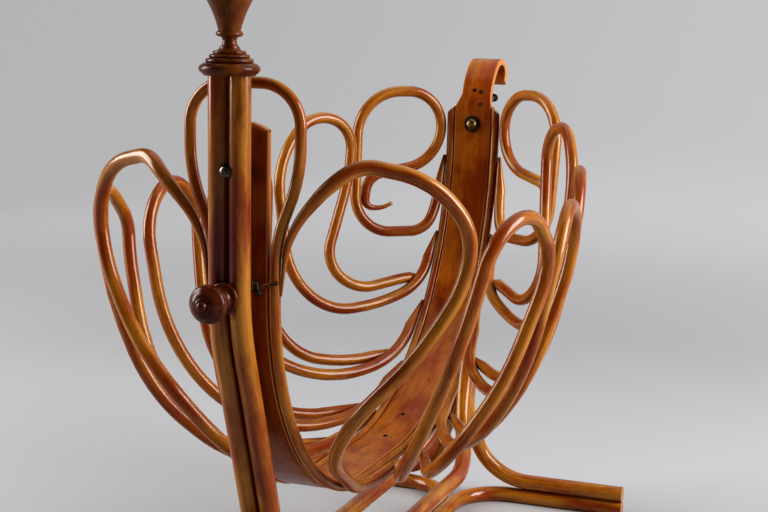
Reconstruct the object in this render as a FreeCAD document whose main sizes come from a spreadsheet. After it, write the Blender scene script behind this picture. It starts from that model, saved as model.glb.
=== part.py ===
import FreeCAD, Part
import math
import os
import Sketcher

# Bentwood cradle: a basket of bent rods on a bent spine plank, hung between two posts of a rod stand.
# Millimetres. X runs from the near post to the far post, Z is up, the floor is Z = 0.

Vec = FreeCAD.Vector
doc = FreeCAD.newDocument("bentwood_cradle")
sheet = doc.addObject("Spreadsheet::Sheet", "sizes")

driving_sizes = [
    ("post_half_spacing", 451, "post centre from the middle of the stand"),
    ("frame_rod", 24, "diameter of the stand's rods"),
    ("loop_rod", 17, "diameter of the loops and scrolls"),
    ("edge_rod", 13, "diameter of the rods along the plank's edges"),
    ("tip_dia", 10, "diameter of a tapered rod end"),
    ("hook_dia", 6, "diameter at a rod's thin end"),
    ("seat_gap", 0.3, "gap between pieces that lie against each other"),
    ("run_gap", 0.06, "radial clearance of a turning fit"),
    ("plank_width", 60, "width of the spine plank"),
    ("plank_thickness", 10, "thickness of the spine plank"),
    ("plank_gap", 19, "gap between a post and the plank"),
    ("basket_depth", 425, "swing axis to the middle of the plank's bottom"),
    ("near_bend", 285, "bend radius of the plank at the near end"),
    ("far_upright", 5, "straight plank below the swing axis, far end"),
    ("near_rise", 45, "plank top above the swing axis, near end"),
    ("far_rise", 37, "straight strap above the swing axis, far end"),
    ("curl_radius", 60, "radius of the curled strap"),
    ("curl_turn", 140, "turn of the curled strap, degrees"),
    ("shoulder_rise", 25, "top of the edge rods above the swing axis, far end"),
    ("bow_half_width", 66, "half width of the bow round the near plank"),
    ("bow_rise", 92, "top of that bow above the swing axis"),
    ("rim_half_width", 284, "half width of the rim at its widest"),
    ("rim_drop", 70, "lowest rim below the swing axis"),
    ("rim_widest", 165, "widest rim from the middle, towards the near end"),
    ("rim_far_length", 530, "rim half length towards the far end"),
    ("rim_near_length", 245, "rim half length towards the near end"),
    ("rim_far_power", 2.1, "fullness of the rim's far half: 2 is an ellipse"),
    ("rim_near_power", 2.5, "fullness of the rim's near half"),
    ("rim_far_rise", 137, "rise of the rim over its far half length"),
    ("rim_near_rise", 75, "rise of the rim over its near half length"),
    ("loop_half_width", 63, "half width of a loop's crown"),
    ("crown_1", 223, "crown of the far loop from the middle"),
    ("crown_2", 79, "crown of the second loop"),
    ("crown_3", -75, "crown of the third loop"),
    ("crown_4", -245, "crown of the fourth loop"),
    ("crown_5", -393, "crown of the corner loop at the near end"),
    ("first_tip", 238.7, "tip of the far loop along the spine from the top of the far bend"),
    ("tip_approach", 29, "last bend of the far loop before its tip, along X"),
    ("tip_pitch", 121.5, "step between the loops' tips along the spine"),
    ("scroll_width", 142, "width of a far scroll"),
    ("scroll_rise", 50, "top of a scroll above the swing axis"),
    ("scroll_drop", 172, "bottom of a scroll below the swing axis"),
    ("post_top", 100, "near post top above the swing axis"),
    ("far_post_top", 38, "far post top above the swing axis"),
    ("post_straight", 165, "straight post below the swing axis"),
    ("lean_gap", 35, "bottom of the leaning post below the plank's bottom"),
    ("post_lean_in", 99, "how far the post leans in"),
    ("stretcher_gap", 105, "run under the basket below the plank's bottom"),
    ("floor_gap", 190, "plank's bottom above the floor"),
    ("stretcher_inset", 77, "end of that run from the foot of a leaning post, along X"),
    ("stretcher_half_spread", 46, "half distance between the two runs"),
    ("foot_reach", 270, "foot end from the centre plane"),
    ("post_bend", 250, "largest bend radius of a post"),
    ("foot_bend", 80, "bend radius of a floor rod"),
    ("foot_overlap", 52, "length of foot rod that lies on a post"),
    ("floor_flat", 1, "depth of the flat under a floor rod"),
    ("pivot_dia", 8, "diameter of a pivot bolt"),
    ("pivot_head", 14, "diameter of its head"),
    ("pivot_head_height", 5, "height of its head"),
    ("bush_wall", 2.5, "wall of a pivot bush"),
    ("spacer_dia", 22, "diameter of a pivot spacer"),
    ("spacer_seat", 1.5, "depth of a spacer's seat in the post"),
    ("washer_dia", 26, "diameter of the washer under a domed nut"),
    ("washer_thickness", 1.6, "thickness of that washer"),
    ("dome_dia", 18, "diameter of a domed nut"),
    ("dome_height", 9, "height of a domed nut"),
    ("strap_bolt_rise", 32, "strap bolt above the swing axis"),
    ("strap_bolt_dia", 6, "diameter of the strap bolt"),
    ("strap_nut_dia", 12, "width of its nut across the corners"),
    ("strap_nut_height", 5, "height of its nut"),
    ("catch_drop", 135, "catch spindle below the swing axis"),
    ("spindle_dia", 8, "diameter of the catch spindle"),
    ("knob_dia", 41, "diameter of the knob"),
    ("knob_length", 57, "length of the knob"),
    ("rosette_dia", 21, "diameter of the rosette"),
    ("rosette_thickness", 3, "thickness of the rosette"),
    ("arm_hub_dia", 15, "diameter of the catch arm's hub"),
    ("arm_thickness", 4.5, "diameter of the catch arm"),
    ("arm_reach", 46, "end of the catch arm from the spindle"),
    ("arm_slope", 18, "slope of the catch arm at rest, degrees"),
    ("collar_dia", 64, "largest diameter of the post collar"),
    ("collar_height", 30, "height of the post collar"),
    ("finial_neck", 16, "neck of the finial"),
    ("finial_dia", 50, "largest diameter of the finial"),
    ("finial_height", 110, "height of the finial"),
]
following_sizes = [
    ("pivot_height", "=basket_depth + floor_gap", "swing axis above the floor"),
    ("far_bend", "=basket_depth - far_upright", "bend radius of the plank at the far end"),
    ("post_lean_drop", "=basket_depth + lean_gap", "bottom of the leaning post below the swing axis"),
    ("stretcher_drop", "=basket_depth + stretcher_gap", "run under the basket below the swing axis"),
    ("stretcher_half_length", "=post_half_spacing - post_lean_in - stretcher_inset", "half length of that run"),
    ("half_plank", "=plank_thickness / 2", "half of the plank's thickness"),
    ("plank_place", "=post_half_spacing - frame_rod / 2 - plank_gap - half_plank", "plank from the middle"),
    ("near_bend_x", "=near_bend - plank_place", "centre of the near bend"),
    ("near_bend_z", "=near_bend - basket_depth", "centre of the near bend"),
    ("far_bend_x", "=plank_place - far_bend", "centre of the far bend"),
    ("far_bend_z", "=far_bend - basket_depth", "centre of the far bend"),
    ("plank_front", "=frame_rod / 2 + plank_gap", "plank face from the post's centre"),
    ("plank_back", "=plank_front + plank_thickness", "plank back from the post's centre"),
    ("bolt_bore", "=pivot_dia / 2 + run_gap", "radius of the bores round a pivot bolt"),
    ("spindle_bore", "=spindle_dia / 2 + run_gap", "radius of the bores round the spindle"),
    ("head_seat", "=3 - frame_rod / 2", "seat of a bolt head in the post"),
]
for row, (alias, number, meaning) in enumerate(driving_sizes + following_sizes, 1):
    sheet.set("A%d" % row, meaning)
    sheet.set("B%d" % row, str(number))
    sheet.setAlias("B%d" % row, alias)
doc.recompute()
size = {row[0]: float(sheet.get(row[0])) for row in driving_sizes + following_sizes}

# Places that follow from the driving sizes, measured from the swing axis at the middle of the stand.
frame_radius = size["frame_rod"] / 2
loop_radius = size["loop_rod"] / 2
edge_radius = size["edge_rod"] / 2
gap = size["seat_gap"]
half_plank = size["half_plank"]
post_x = size["post_half_spacing"]
plank_x = size["plank_place"]
frame_y = frame_radius + gap / 2
edge_y = size["plank_width"] / 2 + edge_radius + gap
leg_y = edge_y + edge_radius + loop_radius + gap
tip_y = leg_y + size["loop_rod"] + gap
near_centre_x = size["near_bend_x"]
far_centre_x = size["far_bend_x"]
near_bend_z = size["near_bend_z"]
far_bend_z = size["far_bend_z"]
knob_back = post_x + frame_radius + gap
knob_face = knob_back + size["knob_length"]
curl_x = plank_x + size["curl_radius"]
overhang = math.sin(math.radians(min(size["curl_turn"], 180) - 90))
curl_reach = curl_x + (size["curl_radius"] + half_plank) * (1 if size["curl_turn"] >= 180 else overhang)
shift = Vec((knob_face - curl_reach) / 2, 0, size["pivot_height"])


def place(x, y, z):
    """A point given from the swing axis, in the part's own frame."""
    return Vec(x, y, z) + shift


def add_shape(name, shape):
    """A bent or cut piece whose shape is worked out here."""
    piece = doc.addObject("Part::Feature", name)
    piece.Label = name
    piece.Shape = shape
    return piece


# Paths of bent rods: straight runs joined by tangent arcs, each as large as its runs allow.
def bent_path(points, largest=None):
    runs = [b - a for a, b in zip(points, points[1:])]
    ends = [points[0]]
    edges = []
    last = len(runs) - 1
    for corner in range(1, len(points) - 1):
        before, after = runs[corner - 1], runs[corner]
        turn = before.getAngle(after)
        if turn < 1e-4:
            continue
        room = min(
            before.Length * (0.7 if corner == 1 else 0.5),
            after.Length * (0.6 if corner == last else 0.5),
        )
        radius = room / math.tan(turn / 2)
        if largest and radius > largest:
            radius = largest
            room = radius * math.tan(turn / 2)
        inward, outward = Vec(before).normalize(), Vec(after).normalize()
        middle = (outward - inward).normalize()
        start = points[corner] - inward * room
        end = points[corner] + outward * room
        mid = points[corner] + middle * (radius / math.cos(turn / 2) - radius)
        if (start - ends[-1]).Length > 1e-3:
            edges.append(Part.LineSegment(ends[-1], start).toShape())
        edges.append(Part.Arc(start, mid, end).toShape())
        ends.append(end)
    if (points[-1] - ends[-1]).Length > 1e-3:
        edges.append(Part.LineSegment(ends[-1], points[-1]).toShape())
    return edges


def rod(edges, radius, tip=None, lean=Vec(), root=None):
    """A ring carried along a path. A tip or a root makes an end edge a cone, held to the lean side."""
    start = edges[0].valueAt(edges[0].FirstParameter)
    ring = Part.Circle(start, edges[0].tangentAt(edges[0].FirstParameter), radius).toShape()
    first_ring = ring
    if root:
        first_ring = ring.scaled(root / radius, start).translated(lean * (radius - root))
        ring = ring.translated(edges[0].valueAt(edges[0].LastParameter) - start)
    skins = [Part.Face(Part.Wire(first_ring))]
    if root:
        skins.append(Part.makeRuledSurface(first_ring, ring))
    for edge in edges[1 if root else 0:-1 if tip else None]:
        if isinstance(edge.Curve, Part.Line):
            step = edge.valueAt(edge.LastParameter) - edge.valueAt(edge.FirstParameter)
            skins.append(ring.extrude(step))
            ring = ring.translated(step)
        else:
            middle, axis = edge.Curve.Center, edge.Curve.Axis
            turn = math.degrees(edge.LastParameter - edge.FirstParameter)
            skins.append(ring.revolve(middle, axis, turn))
            ring = ring.rotated(middle, axis, turn)
    if tip:
        join, end = (edges[-1].valueAt(p) for p in (edges[-1].FirstParameter, edges[-1].LastParameter))
        end_ring = ring.scaled(tip / radius, join).translated(end - join + lean * (radius - tip))
        skins.append(Part.makeRuledSurface(ring, end_ring))
        ring = end_ring
    skins.append(Part.Face(Part.Wire(ring)))
    skin = Part.makeCompound(skins)
    skin.sewShape()
    solid = Part.makeSolid(skin.Shells[0])
    return solid if solid.Volume > 0 else solid.reversed()


# The spine: the line through the middle of the plank's thickness.
def spine_at(station):
    """X and Z of the spine at a distance along the plank from the foot of its far bend."""
    flat = far_centre_x - near_centre_x
    if station >= 0:
        turn = min(station / size["far_bend"], math.pi / 2)
        rise = station - turn * size["far_bend"]
        return (
            far_centre_x + size["far_bend"] * math.sin(turn),
            far_bend_z - size["far_bend"] * math.cos(turn) + rise,
        )
    back = max(-station - flat, 0)
    turn = min(back / size["near_bend"], math.pi / 2)
    rise = back - turn * size["near_bend"]
    level = far_centre_x + max(station, -flat)
    return (
        level - size["near_bend"] * math.sin(turn),
        near_bend_z - size["near_bend"] * math.cos(turn) + rise,
    )


def spine_height(x):
    """Z of the spine's bends below a place along X."""
    if x > far_centre_x:
        reach = min(x - far_centre_x, size["far_bend"])
        return far_bend_z - math.sqrt(size["far_bend"] ** 2 - reach ** 2)
    reach = min(max(near_centre_x - x, 0), size["near_bend"])
    return near_bend_z - math.sqrt(size["near_bend"] ** 2 - reach ** 2)


def spine_reach(z):
    """X of the far bend at a height."""
    drop = min(max(far_bend_z - z, 0), size["far_bend"])
    return far_centre_x + math.sqrt(size["far_bend"] ** 2 - drop ** 2)


# The basket's surface, which the loops follow: quarter ellipses from the plank's edge up to the rim.
def rim_at(x):
    along = x + size["rim_widest"]
    end = "far" if along > 0 else "near"
    share = min(abs(along) / size["rim_%s_length" % end], 1)
    power = size["rim_%s_power" % end]
    half_width = size["rim_half_width"] * (1 - share ** power) ** (1 / power)
    return half_width, size["rim_%s_rise" % end] * share ** 2 - size["rim_drop"]


def hull(x, share, side):
    """A point of the surface: share 0 lies at the plank's edge and 1 at the rim."""
    half_width, rim_z = rim_at(x)
    foot_z = spine_height(x)
    angle = math.radians(90 * share)
    y = leg_y + (half_width - leg_y) * math.sin(angle)
    return place(x, side * y, foot_z + (rim_z - foot_z) * (1 - math.cos(angle)))


def beside_spine(station, y, side):
    x, z = spine_at(station)
    return place(x, side * y, z)


# Side loops, from the far end to the near end. Each has two legs that sweep towards the far end:
# the near leg lies along the edge rod, and the far leg's tapered tip lies against the near leg.
# A leg's line lists steps from the crown's corner along X, with the share of the surface.
near_lines = [
    [(-8, 0.64), (36, 0.46), (112, 0.31)],
    [(-8, 0.66), (36, 0.44), (128, 0.23)],
    [(-8, 0.66), (24, 0.42), (110, 0.19)],
    [(-10, 0.68), (2, 0.42), (100, 0.15)],
]
far_lines = [
    [(-8, 0.8), (-66, 0.6), (-34, 0.44)],
    [(-8, 0.82), (-56, 0.6), (-40, 0.42), (36, 0.25)],
    [(-7, 0.84), (-46, 0.6), (-42, 0.4), (30, 0.22)],
    [(-6, 0.86), (-34, 0.62), (-40, 0.4), (10, 0.23)],
    [(-2, 0.8), (-22, 0.56), (-34, 0.27), (4, 0.05)],
]
# How far before its tip a loop's near leg and far leg reach the plank, in steps between tips.
near_landing = [0.2, 0.35, 0.5, 0.5]
far_landing = [0.12, 0.3, 0.36, 0.36, 0.36]
leg_past_tip = 0.2 * size["tip_pitch"]
tip_radius = size["tip_dia"] / 2
hook_radius = size["hook_dia"] / 2


def tip_station(number):
    return size["far_bend"] * math.pi / 2 - size["first_tip"] - size["tip_pitch"] * number


def crown_x(number):
    return size["crown_%d" % (number + 1)]


def far_leg(number, side, y):
    """From the crown's far corner to the tip."""
    x = crown_x(number) + size["loop_half_width"]
    tip = tip_station(number)
    leg = [hull(x, 0.94, side)] + [hull(x + step, share, side) for step, share in far_lines[number]]
    if number == 0:
        leg.append(hull(spine_at(tip)[0] - size["tip_approach"], 0.27, side))
    if number == 4:
        leg += [beside_spine(tip - step * size["tip_pitch"], y, side) for step in (1.2, 0.8)]
    leg.append(beside_spine(tip - far_landing[number] * size["tip_pitch"], y, side))
    leg.append(beside_spine(tip, y, side))
    return leg


def side_loop(number, side):
    x = crown_x(number) - size["loop_half_width"]
    tip = tip_station(number)
    landing = tip - near_landing[number] * size["tip_pitch"]
    near_leg = [beside_spine(station, leg_y, side) for station in (tip + leg_past_tip, tip, landing)]
    near_leg += [hull(x + step, share, side) for step, share in reversed(near_lines[number])]
    crown = [hull(x, 0.94, side), hull(crown_x(number), 1.03, side)]
    return near_leg + crown + far_leg(number, side, tip_y)


def corner_loop(number, side):
    """The loop at the near end, whose near leg comes down the upright plank's edge."""
    clear_y = size["bow_half_width"] + edge_radius + loop_radius
    seat_z = neck_foot + 0.12 * (neck_top - neck_foot)
    near_leg = [
        place(-plank_x, side * leg_y, 0.98 * near_bend_z),
        place(-plank_x, side * outside_neck(seat_z), seat_z),
        place(-plank_x, side * 1.25 * clear_y, 0.09 * near_bend_z),
        hull(crown_x(number) - 3, 1.03, side),
        hull(crown_x(number) + 0.45 * size["loop_half_width"], 1.03, side),
    ]
    return near_leg + far_leg(number, side, leg_y)


# The bow's neck, where the edge rods come in from the bow to the plank's edges above the near bend.
neck_top, neck_foot = 0.07 * near_bend_z, 0.54 * near_bend_z
neck_slope = math.atan2(size["bow_half_width"] - edge_y, neck_top - neck_foot)


def outside_neck(z):
    """Y of a loop rod that lies against the neck at a height."""
    neck_y = edge_y + (z - neck_foot) * math.tan(neck_slope)
    return neck_y + (edge_radius + loop_radius + gap) / math.cos(neck_slope)


# Scrolls at the far end: they stand on a slanted upright surface that starts at the plank's edge.
scroll_lean = math.radians(51.5)


def scroll_point(out, z, side):
    return place(
        spine_reach(z) - out * math.cos(scroll_lean),
        side * (leg_y + out * math.sin(scroll_lean)),
        z,
    )


def scroll(side):
    width, top, bottom = size["scroll_width"], size["scroll_rise"], -size["scroll_drop"]
    turns = [
        (0, 0.47 * bottom), (0, 0.75 * bottom), (0.1 * width, bottom), (0.94 * width, bottom),
        (width, top), (0.01 * width, top), (0.01 * width, 0.36 * bottom),
        (0.87 * width, 0.49 * bottom), (0.87 * width, 0.77 * bottom), (0.62 * width, 0.79 * bottom),
    ]
    return [scroll_point(out, z, side) for out, z in turns]


def edge_rod_path(side):
    """From the bow's top round the near plank's top, along the plank's edge, to the far shoulder."""
    bow, rise = size["bow_half_width"], size["bow_rise"]
    bow_points = [
        place(-plank_x, side * gap / 2, rise),
        place(-plank_x, side * bow, rise),
        place(-plank_x, side * bow, neck_top),
        place(-plank_x, side * edge_y, neck_foot),
        place(-plank_x, side * edge_y, near_bend_z),
    ]
    return bent_path(bow_points) + spine_edges(side * edge_y, size["shoulder_rise"])


def spine_edges(y, top):
    """Near bend, flat, far bend and far upright of the spine, at one side."""
    half = math.sqrt(0.5)
    depth = -size["basket_depth"]
    near_end, near_foot = place(-plank_x, y, near_bend_z), place(near_centre_x, y, depth)
    near_mid = place(near_centre_x - half * size["near_bend"], y, near_bend_z - half * size["near_bend"])
    far_foot, far_end = place(far_centre_x, y, depth), place(plank_x, y, far_bend_z)
    far_mid = place(far_centre_x + half * size["far_bend"], y, far_bend_z - half * size["far_bend"])
    return [
        Part.Arc(near_end, near_mid, near_foot).toShape(),
        Part.LineSegment(near_foot, far_foot).toShape(),
        Part.Arc(far_foot, far_mid, far_end).toShape(),
        Part.LineSegment(far_end, place(plank_x, y, top)).toShape(),
    ]


# Stand rods.
def frame_path(side):
    lean_x = post_x - size["post_lean_in"]
    spread = size["stretcher_half_spread"]
    half = [
        (post_x, frame_y, -size["post_straight"]),
        (lean_x, frame_y, -size["post_lean_drop"]),
        (size["stretcher_half_length"], spread, -size["stretcher_drop"]),
    ]
    near = [place(-x, side * y, z) for x, y, z in half]
    far = [place(x, side * y, z) for x, y, z in reversed(half)]
    top = place(-post_x, side * frame_y, size["post_top"])
    return [top] + near + far + [place(post_x, side * frame_y, size["far_post_top"])]


lean_run = Vec(-size["post_lean_in"], 0, size["post_straight"] - size["post_lean_drop"]).normalize()
lean_out = Vec(-lean_run.z, 0, lean_run.x)
floor_rod_z = frame_radius - size["floor_flat"] - size["pivot_height"]
foot_z = floor_rod_z + size["frame_rod"] + gap
foot_x = post_x - size["post_lean_in"] + 2 * size["frame_rod"]


def foot_start(share):
    """A place on the part of a foot rod that lies on a post: 0 at its top and 1 at its bottom."""
    low = Vec(post_x - size["post_lean_in"], frame_y, -size["post_lean_drop"])
    seat = low + lean_out * (size["frame_rod"] + gap)
    return tuple(seat - lean_run * size["foot_overlap"] * (1 - share))


def foot_path(end, side):
    points = [
        foot_start(0),
        foot_start(1),
        (foot_x, 0.2 * size["foot_reach"], foot_z),
        (foot_x, size["foot_reach"], foot_z),
    ]
    return [place(end * x, side * y, z) for x, y, z in points]


def floor_path(side):
    points = [
        (-foot_x, size["foot_reach"]), (-foot_x, frame_y), (foot_x, frame_y), (foot_x, size["foot_reach"]),
    ]
    return [place(x, side * y, floor_rod_z) for x, y in points]


# Sketched pieces. An outline lists corners as expressions, each with the bulge of the arc that leads to it.
def outline_sketch(body, plane, corners, flip=False):
    sketch = body.newObject("Sketcher::SketchObject", body.Name + "_outline")
    sketch.AttachmentSupport = [(next(f for f in body.Origin.OriginFeatures if f.Role == plane), "")]
    sketch.MapMode = "FlatFace"
    worth = [[float(sketch.evalExpression(text)) for text in corner] for corner in corners]

    def spot(h, v):
        return Vec(v, h, 0) if flip else Vec(h, v, 0)

    ends = []
    for index, corner in enumerate(corners):
        (h0, v0), (h1, v1) = worth[index - 1][:2], worth[index][:2]
        start, end = spot(h0, v0), spot(h1, v1)
        if len(corner) == 2:
            sketch.addGeometry(Part.LineSegment(start, end))
            ends.append(2)
            continue
        bulge = worth[index][2] / math.hypot(h1 - h0, v1 - v0)
        middle = spot((h0 + h1) / 2 - (v1 - v0) * bulge, (v0 + v1) / 2 + (h1 - h0) * bulge)
        turns_left = (middle - start).cross(end - start).z > 0
        sketch.addGeometry(Part.Arc(start, middle, end) if turns_left else Part.Arc(end, middle, start))
        ends.append(2 if turns_left else 1)
    for index, corner in enumerate(corners):
        after = (index + 1) % len(corners)
        sketch.addConstraint(Sketcher.Constraint("Coincident", index, ends[index], after, 3 - ends[after]))
        h, v = (corner[1], corner[0]) if flip else corner[:2]
        for kind, text, axis in (("DistanceX", h, -2), ("DistanceY", v, -1)):
            number = float(sketch.evalExpression(text))
            if abs(number) < 1e-9:
                sketch.addConstraint(Sketcher.Constraint("PointOnObject", index, ends[index], axis))
                continue
            row = sketch.addConstraint(Sketcher.Constraint(kind, -1, 1, index, ends[index], number))
            sketch.setExpression("Constraints[%d]" % row, text)
        if len(corner) == 3:
            before = corners[index - 1]
            chord = "(((%s) - (%s))^2 + ((%s) - (%s))^2)" % (corner[0], before[0], corner[1], before[1])
            text = "(%s / 4 + (%s)^2) / (2 * abs(%s))" % (chord, corner[2], corner[2])
            radius = float(sketch.evalExpression(text))
            row = sketch.addConstraint(Sketcher.Constraint("Radius", index, radius))
            sketch.setExpression("Constraints[%d]" % row, text)
    return sketch


def turned(name, axis, corners, where, turn=0):
    """A body turned about X or Z: corners give the place along the axis and the radius."""
    body = doc.addObject("PartDesign::Body", name)
    sketch = outline_sketch(body, "XZ_Plane", corners, axis == "Z")
    solid = body.newObject("PartDesign::Revolution", name + "_turned")
    solid.Profile = sketch
    solid.ReferenceAxis = (sketch, ["V_Axis" if axis == "Z" else "H_Axis"])
    solid.Angle = 360
    body.Placement = FreeCAD.Placement(where, FreeCAD.Rotation(Vec(0, 0, 1), turn))
    return body


def cylinder(start, end, radius):
    return Part.makeCylinder(radius, (end - start).Length, start, end - start)


# Spine plank with its curled strap.
plank = doc.addObject("PartDesign::Body", "spine_plank")
outer, inner = "(sizes.plank_place + sizes.half_plank)", "(sizes.plank_place - sizes.half_plank)"
below, above = "-(sizes.basket_depth + sizes.half_plank)", "-(sizes.basket_depth - sizes.half_plank)"
curl_in, curl_out = "(sizes.curl_radius - sizes.half_plank)", "(sizes.curl_radius + sizes.half_plank)"
curl_end = "sizes.plank_place + sizes.curl_radius - %s * cos(sizes.curl_turn * 1 deg)"
curl_end_z = "sizes.far_rise + %s * sin(sizes.curl_turn * 1 deg)"
curl_bulge = "%s * (1 - cos(sizes.curl_turn / 2 * 1 deg))"
quarter = "%s * (1 - cos(45 deg))"
plank_outline = outline_sketch(plank, "XZ_Plane", [
    ("-" + outer, "sizes.near_rise"),
    ("-" + outer, "sizes.near_bend_z"),
    ("sizes.near_bend_x", below, "-" + quarter % "(sizes.near_bend + sizes.half_plank)"),
    ("sizes.far_bend_x", below),
    (outer, "sizes.far_bend_z", "-" + quarter % "(sizes.far_bend + sizes.half_plank)"),
    (outer, "sizes.far_rise"),
    (curl_end % curl_in, curl_end_z % curl_in, curl_bulge % curl_in),
    (curl_end % curl_out, curl_end_z % curl_out),
    (inner, "sizes.far_rise", "-" + curl_bulge % curl_out),
    (inner, "sizes.far_bend_z"),
    ("sizes.far_bend_x", above, quarter % "(sizes.far_bend - sizes.half_plank)"),
    ("sizes.near_bend_x", above),
    ("-" + inner, "sizes.near_bend_z", quarter % "(sizes.near_bend - sizes.half_plank)"),
    ("-" + inner, "sizes.near_rise"),
])
plank_pad = plank.newObject("PartDesign::Pad", "plank_pad")
plank_pad.Profile = plank_outline
plank_pad.setExpression("Length", "sizes.plank_width")
plank_pad.SideType = "Symmetric"
doc.recompute()
top_corners = [
    "Edge%d" % number
    for number, edge in enumerate(plank_pad.Shape.Edges, 1)
    if edge.BoundBox.XMax < 0 and edge.BoundBox.ZMin > size["near_rise"] - 0.1
    and edge.BoundBox.YLength < 0.1
]
plank_top = plank.newObject("PartDesign::Fillet", "plank_top")
plank_top.Base = (plank_pad, top_corners)
plank_top.setExpression("Radius", "sizes.plank_width * 0.48")


def plank_hole(name, y, z, radius, side_type):
    sketch = plank.newObject("Sketcher::SketchObject", name + "_outline")
    sketch.AttachmentSupport = [(next(f for f in plank.Origin.OriginFeatures if f.Role == "YZ_Plane"), "")]
    sketch.MapMode = "FlatFace"
    sketch.addGeometry(Part.Circle(Vec(y, z, 0), Vec(0, 0, 1), float(sketch.evalExpression(radius))))
    row = sketch.addConstraint(Sketcher.Constraint("Radius", 0, float(sketch.evalExpression(radius))))
    sketch.setExpression("Constraints[%d]" % row, radius)
    hole = plank.newObject("PartDesign::Pocket", name)
    hole.Profile = sketch
    hole.Type = "ThroughAll"
    hole.SideType = side_type
    hole.Reversed = side_type == "One side"
    return hole


plank_hole("bush_holes", 0, 0, "sizes.bolt_bore + sizes.bush_wall + sizes.run_gap", "Symmetric")
strap_y = -0.2 * size["plank_width"]
plank_hole(
    "strap_hole", strap_y, size["strap_bolt_rise"], "sizes.strap_bolt_dia / 2 + sizes.run_gap", "One side"
)
plank.Placement.Base = shift

# Bent rods of the basket.
sides = (("left", 1), ("right", -1))
for word, side in sides:
    inward = Vec(0, -side, 0)
    add_shape("edge_rod_" + word, rod(edge_rod_path(side), edge_radius))
    for number in range(4):
        path = bent_path(side_loop(number, side))
        add_shape("loop_%s_%d" % (word, number + 1), rod(path, loop_radius, tip_radius, inward))
    path = bent_path(corner_loop(4, side))
    add_shape("loop_%s_5" % word, rod(path, loop_radius, tip_radius, inward, hook_radius))
    add_shape("scroll_" + word, rod(bent_path(scroll(side)), loop_radius, hook_radius))

# Bent rods of the stand, with the post bored for the pivot bolts and the spindle.
bores = []
for end in (-1, 1):
    post = [place(end * (post_x - along), 0, 0) for along in (
        -size["frame_rod"], size["head_seat"], frame_radius - size["spacer_seat"], size["frame_rod"],
    )]
    bores.append(cylinder(post[0], post[3], size["bolt_bore"]))
    bores.append(cylinder(post[0], post[1], size["pivot_head"] / 2 + 1.5))
    bores.append(cylinder(post[2], post[3], size["spacer_dia"] / 2 + gap))
spindle_z = -size["catch_drop"]
bores.append(cylinder(
    place(-post_x - size["frame_rod"], 0, spindle_z), place(-post_x + size["frame_rod"], 0, spindle_z),
    size["spindle_bore"],
))
floor_half = post_x + size["foot_reach"]
under_floor = Part.makeBox(
    2 * floor_half, 2 * floor_half, size["frame_rod"], Vec(-floor_half, -floor_half, -size["frame_rod"])
)
for word, side in sides:
    frame_rod = rod(bent_path(frame_path(side), size["post_bend"]), frame_radius)
    add_shape("frame_rod_" + word, frame_rod.cut(bores))
    floor_rod = rod(bent_path(floor_path(side), size["foot_bend"]), frame_radius)
    add_shape("floor_rod_" + word, floor_rod.cut(under_floor))
    for place_word, end in (("near", -1), ("far", 1)):
        add_shape("foot_%s_%s" % (place_word, word), rod(bent_path(foot_path(end, side)), frame_radius))

# Pivots: corners run from the post's centre towards the basket.
bolt_outline = [
    ("sizes.head_seat - sizes.pivot_head_height", "0"),
    ("sizes.head_seat - sizes.pivot_head_height", "sizes.pivot_head * 0.14"),
    ("sizes.head_seat - 1", "sizes.pivot_head / 2", "sizes.pivot_head_height * 0.2"),
    ("sizes.head_seat", "sizes.pivot_head / 2"),
    ("sizes.head_seat", "sizes.pivot_dia / 2"),
    ("sizes.plank_back + sizes.seat_gap + sizes.washer_thickness + 6", "sizes.pivot_dia / 2"),
    ("sizes.plank_back + sizes.seat_gap + sizes.washer_thickness + 6", "0"),
]
spacer_outline = [
    ("sizes.frame_rod / 2 - sizes.spacer_seat", "sizes.bolt_bore"),
    ("sizes.frame_rod / 2 - sizes.spacer_seat", "sizes.spacer_dia / 2"),
    ("sizes.plank_front - sizes.seat_gap", "sizes.spacer_dia / 2"),
    ("sizes.plank_front - sizes.seat_gap", "sizes.bolt_bore"),
]
bush_outline = [
    ("sizes.plank_front", "sizes.bolt_bore"),
    ("sizes.plank_front", "sizes.bolt_bore + sizes.bush_wall"),
    ("sizes.plank_back", "sizes.bolt_bore + sizes.bush_wall"),
    ("sizes.plank_back", "sizes.bolt_bore"),
]
washer_outline = [
    ("sizes.plank_back + sizes.seat_gap", "sizes.bolt_bore"),
    ("sizes.plank_back + sizes.seat_gap", "sizes.washer_dia / 2"),
    ("sizes.plank_back + sizes.seat_gap + sizes.washer_thickness", "sizes.washer_dia / 2"),
    ("sizes.plank_back + sizes.seat_gap + sizes.washer_thickness", "sizes.bolt_bore"),
]
nut_start = "sizes.plank_back + sizes.seat_gap + sizes.washer_thickness"
nut_outline = [
    (nut_start, "sizes.bolt_bore"),
    (nut_start, "sizes.dome_dia / 2"),
    (nut_start + " + sizes.dome_height * 0.3", "sizes.dome_dia / 2"),
    (nut_start + " + sizes.dome_height", "0", "sizes.dome_dia * 0.13"),
    (nut_start + " + 6.3", "0"),
    (nut_start + " + 6.3", "sizes.bolt_bore"),
]
for place_word, end in (("near", -1), ("far", 1)):
    where, turn = place(end * post_x, 0, 0), 0 if end < 0 else 180
    turned("pivot_bolt_" + place_word, "X", bolt_outline, where, turn)
    turned("pivot_spacer_" + place_word, "X", spacer_outline, where, turn)
    turned("pivot_bush_" + place_word, "X", bush_outline, where, turn)
    turned("pivot_washer_" + place_word, "X", washer_outline, where, turn)
    turned("pivot_nut_" + place_word, "X", nut_outline, where, turn)

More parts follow.
